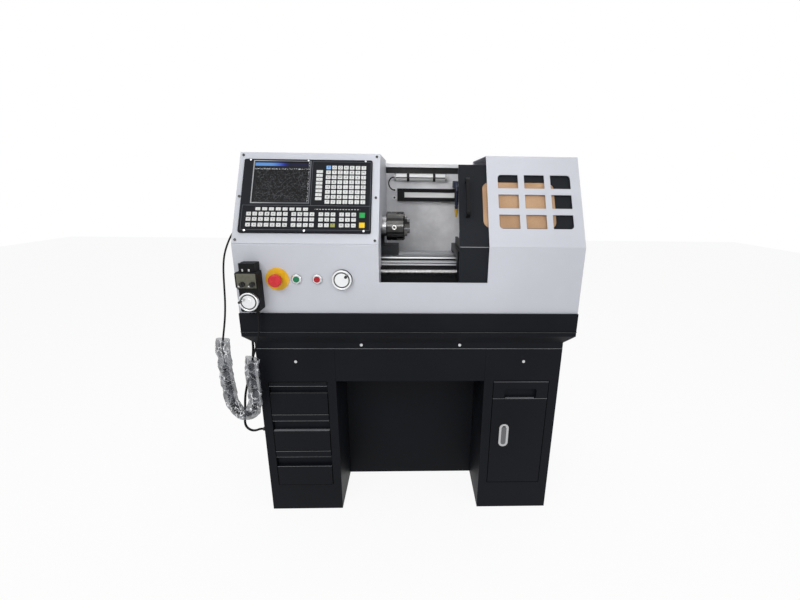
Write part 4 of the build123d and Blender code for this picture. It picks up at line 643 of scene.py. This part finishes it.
pad_rows = ("POQNRFT", "XYZ789M", "UVW456S", "JKI123D", "HGE-0.B", "+*/=<>L", "#%&!?AC", "^v[](){")
pad_left, pad_low = -0.2635, 0.1406
pad_step_x, pad_step_s, pad_size = 0.0186, 0.0169, 0.0100
for row, letters in enumerate(pad_rows):
    for column, letter in enumerate(letters):
        key_s = pad_low + (len(pad_rows) - 1 - row) * pad_step_s
        print_key(letter, pad_left + column * pad_step_x, key_s, pad_size)
side_keys, side_key_x, side_low, side_step, side_size = 8, -0.291, 0.151, 0.0133, 0.012
for row in range(side_keys):
    print_key("-", side_key_x, side_low + row * side_step, side_size)
soft_keys, soft_left, soft_key_s, soft_step, soft_size = 8, -0.4747, 0.115, 0.0209, 0.011
for index in range(soft_keys):
    print_key("-", soft_left + index * soft_step, soft_key_s, soft_size)
operator_signs = "=+x/<>^v%#*~"
operator_groups = ((-0.5015, 7), (-0.3635, 4), (-0.280, 3), (-0.216, 3))
operator_rows, operator_step, operator_size = (0.0985, 0.081, 0.0624), 0.0187, 0.0105
for group, (group_left, count) in enumerate(operator_groups):
    for index in range(count):
        for row, key_s in enumerate(operator_rows):
            sign = operator_signs[(group * 5 + index * 3 + row) % len(operator_signs)]
            print_key(sign, group_left + index * operator_step, key_s, operator_size)
key_ink = bpy.data.objects.new("key_legends", bpy.data.meshes.new("key_legends"))
bpy.context.scene.collection.objects.link(key_ink)
legends.to_mesh(key_ink.data)
legends.free()
ink = Finish("key_legends", roughness=0.5)
ink.vary("Base Color", ink.place.grain(400).tint((0.0102, 0.01105, 0.0136), (0.012, 0.013, 0.016)))
ink.on(key_ink)
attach(key_ink, "base")


# Operator controls on the upright front: a yellow disc with a red stop mushroom on a black collar, a green
# and a red push button in plated rings whose flanks by the plate are painted black as painted shade, and a
# silver jog wheel on a black base.
def moulded(name, colour, roughness, cloud=0.12):
    """Gloss moulded plastic with a faint flow pattern."""
    plastic = Finish(name, specular_ior_level=0.3, coat_weight=0.06, coat_roughness=0.1)
    flow = plastic.place.grain(45, 3.0)
    plastic.vary("Base Color", flow.spread().tint(tuple(c * (1 - cloud) for c in colour), colour))
    plastic.vary("Roughness", flow.spread(roughness - 0.05, roughness + 0.08))
    return plastic


black_rubber_and_shade = (0.010, 0.010, 0.010)
collar_back, flank_shade_front, jog_base_left, controls_z = -0.1865, -0.1862, -0.255, 0.906
disc_yellow = moulded("disc_yellow", (0.88, 0.50, 0.02), 0.35)
disc_yellow.overlay(disc_yellow.place.part("Y") < collar_back, black_rubber_and_shade).on("estop_disc")
moulded("mushroom_red", (0.66, 0.030, 0.040), 0.28).on("estop_button")
moulded("start_green", (0.008, 0.20, 0.085), 0.25).on("start_button")
moulded("stop_red", (0.44, 0.012, 0.022), 0.25).on("stop_button")
ring_metal = Finish("ring_metal")
jog_base = ring_metal.place.part("X").ramp(jog_base_left - print_soft, jog_base_left + print_soft)
ring_cloud = ring_metal.place.grain(70)
ring_tone = ring_cloud.tint((0.62, 0.63, 0.65), (0.78, 0.79, 0.80))
ring_metal.vary("Base Color", jog_base.tint(ring_tone, (0.012, 0.012, 0.013)))
# The ring's flank next to the plate is painted black as painted shade.
ring_flank_shade = ring_metal.place.part("Y") > flank_shade_front
ring_metal.overlay(ring_flank_shade, black_rubber_and_shade)
ring_metal.vary("Metallic", (1 - jog_base) * (1 - ring_flank_shade))
ring_metal.vary("Roughness", ring_cloud.spread(0.14, 0.3)).on("control_bezels")


def brushed_wheel(name, x, z, groove, dark, face):
    """A turned aluminium hand wheel seen along Y, with a dark ring between these radii as painted shade of
    its rim, and a black crank peg that stands out of its face."""
    alloy = Finish(name)
    reach = alloy.place.reach((1, 0, 1), (x, 0, z))
    rings = reach.make("ShaderNodeCombineXYZ", {}, {"X": reach}).grain(1500, 3.0, 0.65)
    # The dark ring between these radii is painted shade of the wheel's rim.
    edge = reach.between(*groove, 0.0003)
    bright = rings.spread().tint((0.78, 0.79, 0.80), (0.92, 0.93, 0.94))
    alloy.vary("Base Color", edge.tint(bright, dark))
    peg = alloy.place.part("Y") < face
    alloy.overlay(peg, (0.016, 0.016, 0.017))
    alloy.vary("Metallic", (1 - edge) * (1 - peg))
    alloy.vary("Roughness", rings.spread(0.26, 0.42))
    return alloy.bump(rings, 0.00005)


jog_x, jog_shade_ring, jog_face = -0.2165, (0.0215, 0.0255), -0.1992
jog_alloy = brushed_wheel("jog_alloy", jog_x, controls_z, jog_shade_ring, (0.015, 0.015, 0.016), jog_face)
jog_alloy.on("jog_wheel")


# The sliding door is one folded leaf of the dark sheet, with a clear pane behind it that still
# wears its brown masking paper, and a bow handle of black plastic.
# A bright line along the door's fold is a painted highlight.
door_edges, door_highlight = (1.0100,), (0.45, 0.46, 0.48)
door_coat = painted(
    "door_coat", (0.0125, 0.0145, 0.0185), roughness=0.46, pimple=0.0016, depth=0.00010, mottle=0.2,
    dust=dark_dust, edges=door_edges, highlight=door_highlight)
door_coat.on("sliding_door")
masking_paper = Finish("masking_paper", roughness=0.7)
paper_fibre = masking_paper.place.grain(700, 3.0, 0.7, (1, 0.3, 0.3))
paper_cloud = masking_paper.place.grain(9, 3.0)
paper_fold = masking_paper.place.grain(24, 2.0)
paper_shade = (paper_fibre * 0.4 + paper_cloud * 0.6).spread()
masking_paper.vary("Base Color", paper_shade.tint((0.36, 0.21, 0.11), (0.52, 0.33, 0.19)))
masking_paper.bump(paper_fold + paper_fibre * 0.05, 0.0012).on("door_window")
handle_plastic = Finish("handle_plastic", roughness=0.45, specular_ior_level=dull_shine)
handle_grain = handle_plastic.place.grain(800)
handle_plastic.vary("Base Color", handle_grain.tint((0.005, 0.005, 0.006), (0.011, 0.011, 0.012)))
handle_plastic.bump(handle_grain, 0.00008).on("door_handle")
rail_steel = Finish("rail_steel", metallic=1.0)
rail_lines = rail_steel.place.grain(1.0, 3.0, 0.6, (5, 1500, 1500))
rail_steel.vary("Base Color", rail_lines.tint((0.30, 0.30, 0.31), (0.48, 0.48, 0.50)))
rail_steel.vary("Roughness", rail_lines.spread(0.25, 0.45)).on("door_rails")


# The hand pendant hangs on the front by its hook block: a black moulded box with a grey face
# label, two selector knobs and a silver crank wheel.
label_front, front_soft = -0.2278, 0.0001
label_box, label_soft = (-0.527, -0.469, 0.887, 0.932), 0.0003
label_mark_heights, label_mark_soft = (0.8905, 0.8945), 0.0005
label_mark_spans = ((-0.5245, -0.5195), (-0.4940, -0.4885))
hook_front, hook_glint_heights, hook_glint_soft = -0.2215, (0.9375, 0.9450), 0.0004
hook_glint_spans = ((-0.5105, -0.5060), (-0.4915, -0.4865))
pendant_plastic = Finish("pendant_plastic", specular_ior_level=dull_shine)
pendant_place = pendant_plastic.place
pendant_x, pendant_y, pendant_z = (pendant_place.part(axis) for axis in "XYZ")
label = pendant_y.ramp(label_front - front_soft, label_front + front_soft, 1.0, 0.0)
label = label * patch(pendant_x, pendant_z, label_box, label_soft)
pendant_grain = pendant_place.grain(700)
pendant_dark = pendant_grain.tint((0.006, 0.006, 0.007), (0.012, 0.012, 0.013))
hook_face = pendant_y < hook_front
pendant_tone = pendant_dark
# Two white patches on the hook block are painted highlights, standing for two screw heads.
for span in hook_glint_spans:
    hook_glint = patch(pendant_x, pendant_z, span + hook_glint_heights, hook_glint_soft)
    pendant_tone = (hook_face * hook_glint).tint(pendant_tone, (0.62, 0.63, 0.64))
label_tone = pendant_place.grain(160, 3.0).tint((0.10, 0.098, 0.075), (0.20, 0.195, 0.155))
for span in label_mark_spans:
    label_mark = patch(pendant_x, pendant_z, span + label_mark_heights, label_mark_soft)
    label_tone = label_mark.tint(label_tone, (0.80, 0.80, 0.79))
pendant_plastic.vary("Base Color", label.tint(pendant_tone, label_tone))
pendant_plastic.vary("Roughness", label.ramp(0, 1, 0.52, 0.3))
pendant_plastic.bump((1 - label) * pendant_grain, 0.0001).on("pendant_body")
knob_plastic = moulded("knob_plastic", (0.015, 0.015, 0.016), 0.35)
knob_plastic.on("pendant_axis_knob", "pendant_step_knob")
wheel_x, wheel_z, wheel_shade_ring, wheel_face = -0.494, 0.846, (0.0205, 0.0245), -0.2412
pendant_alloy = brushed_wheel(
    "pendant_alloy", wheel_x, wheel_z, wheel_shade_ring, (0.02, 0.02, 0.02), wheel_face)
pendant_alloy.on("pendant_wheel")


# The pendant's cord leaves the box in a straight lead, runs through a long curly part that hangs
# in a loop, and climbs as a straight lead to the plug on the left wall. It is one black jacketed
# cord from end to end.
front_corner = (-0.550, -0.183, 0.794)


def in_metres(offsets):
    """Route points given in millimetres from the enclosure's lower front left corner."""
    left, front, low = front_corner
    return [Vector((x / 1000 + left, y / 1000 + front, z / 1000 + low)) for x, y, z in offsets]


def route_spline(name, points, thickness):
    """A round cord on one smooth spline with the route's points as its control points."""
    curve = bpy.data.curves.new(name, "CURVE")
    curve.dimensions = "3D"
    curve.resolution_u = 6
    spline = curve.splines.new("NURBS")
    spline.points.add(len(points) - 1)
    for point, place in zip(spline.points, points):
        point.co = (*place, 1)
    spline.order_u = 3
    spline.use_endpoint_u = True
    curve.bevel_depth = thickness / 2
    curve.bevel_resolution = 3
    curve.use_fill_caps = True
    piece = bpy.data.objects.new(name, curve)
    bpy.context.scene.collection.objects.link(piece)
    return piece


def line_points(points):
    """Points along the smooth spline of a route, in order."""
    guide = route_spline("guide", points, 0)
    mesh = bpy.data.meshes.new_from_object(guide)
    found = [vertex.co.copy() for vertex in mesh.vertices]
    bpy.data.objects.remove(guide)
    bpy.data.meshes.remove(mesh)
    return found


def along(line, distance):
    """The place and direction at a distance along a line of points."""
    for first, second in zip(line, line[1:]):
        step = (second - first).length
        if distance <= step:
            return first.lerp(second, distance / step), (second - first).normalized()
        distance -= step
    return line[-1].copy(), (line[-1] - line[-2]).normalized()


def line_length(line):
    """The length of a line of points."""
    return sum((second - first).length for first, second in zip(line, line[1:]))


lead_offsets = [
    (69, -24, 4), (69, -24, -20), (67, -26.5, -51), (62, -31, -81), (53, -32.5, -107), (45, -32, -128),
    (39, -32, -143.75),
]
curly_offsets = [
    (39, -32, -143.75), (31, -32, -164.75), (30, -32, -204), (34, -32, -249), (34.5, -32, -287),
    (29, -32, -322), (12, -32, -345), (-12, -32, -350), (-35, -32, -335), (-47, -32, -302),
    (-50, -32, -256), (-51.4, -32, -206), (-52, -32, -156),
]
return_offsets = [
    (-52, -32, -156), (-52.5, -32, -134), (-52, -32, -110), (-48, -31, -78), (-43, -26, -46),
    (-41, -14, -12), (-46, 10, 30), (-58, 42, 76), (-71, 76, 119), (-80, 106, 151), (-85, 134, 176),
    (-85, 158, 198), (-81, 176, 219), (-73, 187, 236), (-61, 190, 247), (-47, 190, 251), (-32, 190, 251),
]
cord_thickness = 0.006
curl_radius = 0.007
curl_pitch = 0.0084
curl_points = 14
curl_run_in = 0.020
curly_line = line_points(in_metres(curly_offsets))
curly_length = line_length(curly_line)
curl_steps = round(curly_length / curl_pitch) * curl_points
curl = []
angle = 0
for step in range(curl_steps + 1):
    distance = curly_length * step / curl_steps
    centre, ahead = along(curly_line, distance)
    side = Vector((0, 1, 0))
    out = ahead.cross(side).normalized()
    share = min(1.0, distance / curl_run_in, (curly_length - distance) / curl_run_in)
    reach = curl_radius * share * share * (3 - 2 * share)
    angle += 2 * math.pi / curl_points * share * share
    curl.append(centre + reach * (math.cos(angle) * side + math.sin(angle) * out))
pendant_route = in_metres(lead_offsets)[:-1] + curl + in_metres(return_offsets)[1:]
pendant_cord = route_spline("pendant_cord", pendant_route, cord_thickness)
cord_rubber = Finish("cord_rubber", specular_ior_level=0.12)
cord_grain = cord_rubber.place.grain(500)
cord_rubber.vary("Base Color", cord_grain.tint((0.004, 0.004, 0.005), (0.010, 0.010, 0.011)))
cord_rubber.vary("Roughness", cord_grain.spread(0.4, 0.6))
cord_rubber.on(pendant_cord, "pendant_leads", "curly_cord")
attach(pendant_cord, "base")
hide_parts("pendant_leads", "curly_cord")
gland_plastic = moulded("gland_plastic", (0.014, 0.014, 0.015), 0.4)
gland_plastic.on("cable_glands")


# The curly part is still in the clear film sleeve it was delivered in: a thin flat tube, crinkled where it
# was squeezed, with painted white glints along its creases and streaks.
sleeve_half_width = 0.0225
sleeve_half_depth = 0.0115
sleeve_rows = 240
sleeve_sides = 44
fold_depth, wrinkle_depth = 0.0040, 0.0016
crease_depth, crease_set = 0.006, 0.0015
sleeve_line = line_points(in_metres(curly_offsets + return_offsets[1:4]))
sleeve_length = line_length(sleeve_line)
sleeve_rings = []
for row in range(sleeve_rows + 1):
    share = row / sleeve_rows
    centre, ahead = along(sleeve_line, sleeve_length * share)
    side = Vector((0, 1, 0))
    out = ahead.cross(side).normalized()
    ring = []
    for step in range(sleeve_sides):
        turn = 2 * math.pi * step / sleeve_sides
        flat = centre + out * (sleeve_half_width * math.cos(turn))
        flat = flat + side * (sleeve_half_depth * math.sin(turn))
        fold = noise.noise(flat * 34 + Vector((3, 7, 1))) * fold_depth
        fold = fold + noise.noise(flat * 90) * wrinkle_depth
        crease = abs(noise.noise(flat * 26 + Vector((11, 2, 5)))) * crease_depth - crease_set
        away = (out * math.cos(turn) + side * math.sin(turn) * 0.6).normalized()
        ring.append(flat + away * (fold + crease))
    sleeve_rings.append(ring)
sleeve = tube_mesh("film_wrap", sleeve_rings, closed_ends=False)
film = Finish("film", roughness=0.18, specular_ior_level=0.25)
film_crinkle = film.place.grain(34, 2.0, 0.6)
film_streak = film.place.grain(58, 2.0, 0.6, (1, 1, 0.42))
film_patch = film.place.grain(26, 1.0).ramp(0.42, 0.58)
# Bright streaks and fold lines on the film are painted glints.
film_fold_glint = (1 - (film.place.grain(27, 1.5, 0.5) * 2 - 1).size() * 13).ramp(0.2, 0.9)
film_glint = (1 - (film_streak * 2 - 1).size() * 6).ramp(0.4, 1.0) * film_patch + film_fold_glint * 0.4
film_grey = film_crinkle.ramp(0.35, 0.65).tint((0.035, 0.038, 0.045), (0.19, 0.20, 0.23))
film.vary("Base Color", film_glint.ramp(0, 1).tint(film_grey, (0.88, 0.89, 0.91)))
film.vary("Alpha", film_glint.ramp(0, 1) * 0.40 + film_patch * 0.10 + 0.54)
film.bump(film_crinkle + film_streak * 0.5, 0.004).on(sleeve, "film_sleeve")
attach(sleeve, "base")
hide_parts("film_sleeve")
round(line_length(line_points(pendant_route)), 3)


# The supply cable drops from a grommet in the pan's corner and loops into a gland in the left
# pedestal.
supply_offsets = [
    (14, 40, -108), (14, 40, -130), (10, 40, -162), (3, 40, -196), (-6, 40, -230), (-17, 40, -263),
    (-28, 40, -295), (-36, 40, -331), (-40, 40, -369), (-45, 40, -406), (-48, 40, -434), (-42, 40, -452),
    (-27, 40, -463), (-10, 40, -463), (4, 40, -456), (17, 40, -456),
]
supply_thickness = 0.008
supply_route = in_metres(supply_offsets)
supply = route_spline("supply_cord", supply_route, supply_thickness)
cord_rubber.on(supply, "supply_cable")
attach(supply, "base")
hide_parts("supply_cable")
round(line_length(line_points(supply_route)), 3)


# The lamps share a thin lead: it leaves one of two white grommets in the rear wall, beside the flat
# lamp's end, and runs up to the tube's end.
grommet_x, grommet_heights = -0.0685, (1.1775, 1.1480)
grommet_sides = 24
grommet_bore = 0.0040
grommet_outline = (
    (0.2452, 0.0082), (0.2380, 0.0082), (0.2365, 0.0070), (0.2365, 0.0036), (0.2420, 0.0034))
for index, grommet_z in enumerate(grommet_heights):
    grommet_rings = []
    for ring_y, radius in grommet_outline:
        ring = []
        for side in range(grommet_sides):
            turn = 2 * math.pi * side / grommet_sides
            ring.append((grommet_x + radius * math.cos(turn), ring_y, grommet_z + radius * math.sin(turn)))
        grommet_rings.append(ring)
    grommet = tube_mesh(f"lamp_gland_{index + 1}", grommet_rings)
    grommet.data.set_sharp_from_angle(angle=math.radians(35))
    grommet_white = moulded(f"grommet_white_{index + 1}", (0.86, 0.86, 0.85), 0.35, 0.03)
    # The bore is painted black as painted shade in the hole.
    bore_shade = grommet_white.place.reach((1, 0, 1), (grommet_x, 0, grommet_z)) < grommet_bore
    grommet_white.overlay(bore_shade, (0.006, 0.006, 0.006)).on(grommet)
    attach(grommet, "base")
lamp_lead_route = [Vector(place) for place in (
    (-0.0685, 0.2410, 1.1775), (-0.0695, 0.2310, 1.1778), (-0.0775, 0.2245, 1.1800),
    (-0.0870, 0.2260, 1.1890), (-0.0910, 0.2295, 1.2030), (-0.0870, 0.2310, 1.2170),
    (-0.0780, 0.2310, 1.2265), (-0.0660, 0.2310, 1.2270),
)]
lamp_lead_thickness = 0.0045
lamp_lead = route_spline("lamp_lead", lamp_lead_route, lamp_lead_thickness)
cord_rubber.on(lamp_lead)
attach(lamp_lead, "base")
round(line_length(line_points(lamp_lead_route)), 3)


# Screw heads: black ones in two columns hold the control plate, and zinc ones the bezel, the stand
# and the pan.
plate_screw_left, plate_screw_right, head_reach = -0.539, -0.112, 0.006
screw_zinc = Finish("screw_zinc")
head_x = screw_zinc.place.part("X")
plate_heads = (head_x - plate_screw_left).size() < head_reach
plate_heads = plate_heads + ((head_x - plate_screw_right).size() < head_reach)
zinc_cloud = screw_zinc.place.grain(300)
zinc_tone = zinc_cloud.tint((0.55, 0.56, 0.58), (0.72, 0.73, 0.75))
screw_zinc.vary("Base Color", plate_heads.tint(zinc_tone, (0.012, 0.012, 0.013)))
screw_zinc.vary("Metallic", 1 - plate_heads)
screw_zinc.vary("Roughness", zinc_cloud.spread(0.25, 0.45)).on("cover_screws")


# A pale studio: a white floor that keeps a trace of the shadow, a white world, soft lamps from
# above and in front, and a camera where the photographer stood.
floor_half, floor_glow = 8, 0.92
floor_corners = [(x * floor_half, y * floor_half, 0) for x, y in ((-1, -1), (1, -1), (1, 1), (-1, 1))]
floor_mesh = bpy.data.meshes.new("floor")
floor_mesh.from_pydata(floor_corners, [], [(0, 1, 2, 3)])
floor = bpy.data.objects.new("floor", floor_mesh)
bpy.context.scene.collection.objects.link(floor)
floor_paint = Finish("floor_paint", base_color=(0.9, 0.9, 0.9), roughness=0.8)
floor_tree = floor_paint.material.node_tree


def shown_rays(tree):
    """1 for the rays that show a background: from the camera, off metal and through glass."""
    path = tree.nodes.new("ShaderNodeLightPath")
    camera_seen, glossy_seen, clear_seen = (
        Wire(path.outputs[f"Is {kind} Ray"]) for kind in ("Camera", "Glossy", "Transmission"))
    return camera_seen + glossy_seen + clear_seen


seen = shown_rays(floor_tree)
glow = seen.make("ShaderNodeEmission", {}, {"Color": (1, 1, 1, 1), "Strength": 1.0})
mixed = seen.make("ShaderNodeMixShader", {}, {
    0: seen * floor_glow, 1: Wire(floor_paint.shader.outputs[0]), 2: glow})
floor_tree.links.new(mixed.socket, floor_tree.nodes["Material Output"].inputs["Surface"])
floor_paint.on(floor)

world = bpy.data.worlds.new("studio")
bpy.context.scene.world = world
world.use_nodes = True
world_tree = world.node_tree
background = world_tree.nodes["Background"]
background.inputs["Color"].default_value = (1, 1, 1, 1)
world_light = 0.36
shown = shown_rays(world_tree) * (1 - world_light) + world_light
world_tree.links.new(shown.socket, background.inputs["Strength"])


def soft_lamp(name, place, aim, size, power, spread=180):
    """A soft box that faces a point, with its beam this many degrees wide."""
    light = bpy.data.lights.new(name, "AREA")
    light.shape = "RECTANGLE"
    light.size, light.size_y = size
    light.energy = power
    light.spread = math.radians(spread)
    lamp = bpy.data.objects.new(name, light)
    lamp.location = place
    lamp.rotation_euler = (Vector(aim) - Vector(place)).to_track_quat("-Z", "Y").to_euler()
    bpy.context.scene.collection.objects.link(lamp)


soft_lamp("key", (-1.2, -2.6, 3.0), (0, 0, 0.8), (2.4, 1.6), 52)
soft_lamp("fill", (2.4, -2.4, 1.8), (0, 0, 0.8), (2.0, 1.6), 22)
soft_lamp("overhead", (0, 0.2, 3.4), (0, 0, 1.0), (3.0, 2.0), 30)
soft_lamp("inside", (0.05, -2.2, 1.5), (0.07, 0.24, 1.10), (0.5, 0.5), 0.24, 26)

picture_width, picture_height = 800, 600
focal_pixels, centre_x, centre_y = 385.9992, 422.4562, 298.8815
camera = bpy.data.cameras.new("camera")
camera.sensor_width = 36
camera.lens = focal_pixels / picture_width * camera.sensor_width
camera.shift_x = (picture_width / 2 - centre_x) / picture_width
camera.shift_y = (centre_y - picture_height / 2) / picture_width
viewer = bpy.data.objects.new("camera", camera)
right = Vector((0.9995651598, -0.0270120450, 0.0118254310))
up = Vector((-0.0039356258, 0.2752358935, 0.9613686669))
back = right.cross(up)
viewer_turn = Matrix((right, up, back)).transposed().to_4x4()
viewer.matrix_world = Matrix.Translation((0.00105, -1.37821, 1.18490)) @ viewer_turn
bpy.context.scene.collection.objects.link(viewer)
bpy.context.scene.camera = viewer
bpy.context.scene.view_settings.view_transform = "Standard"
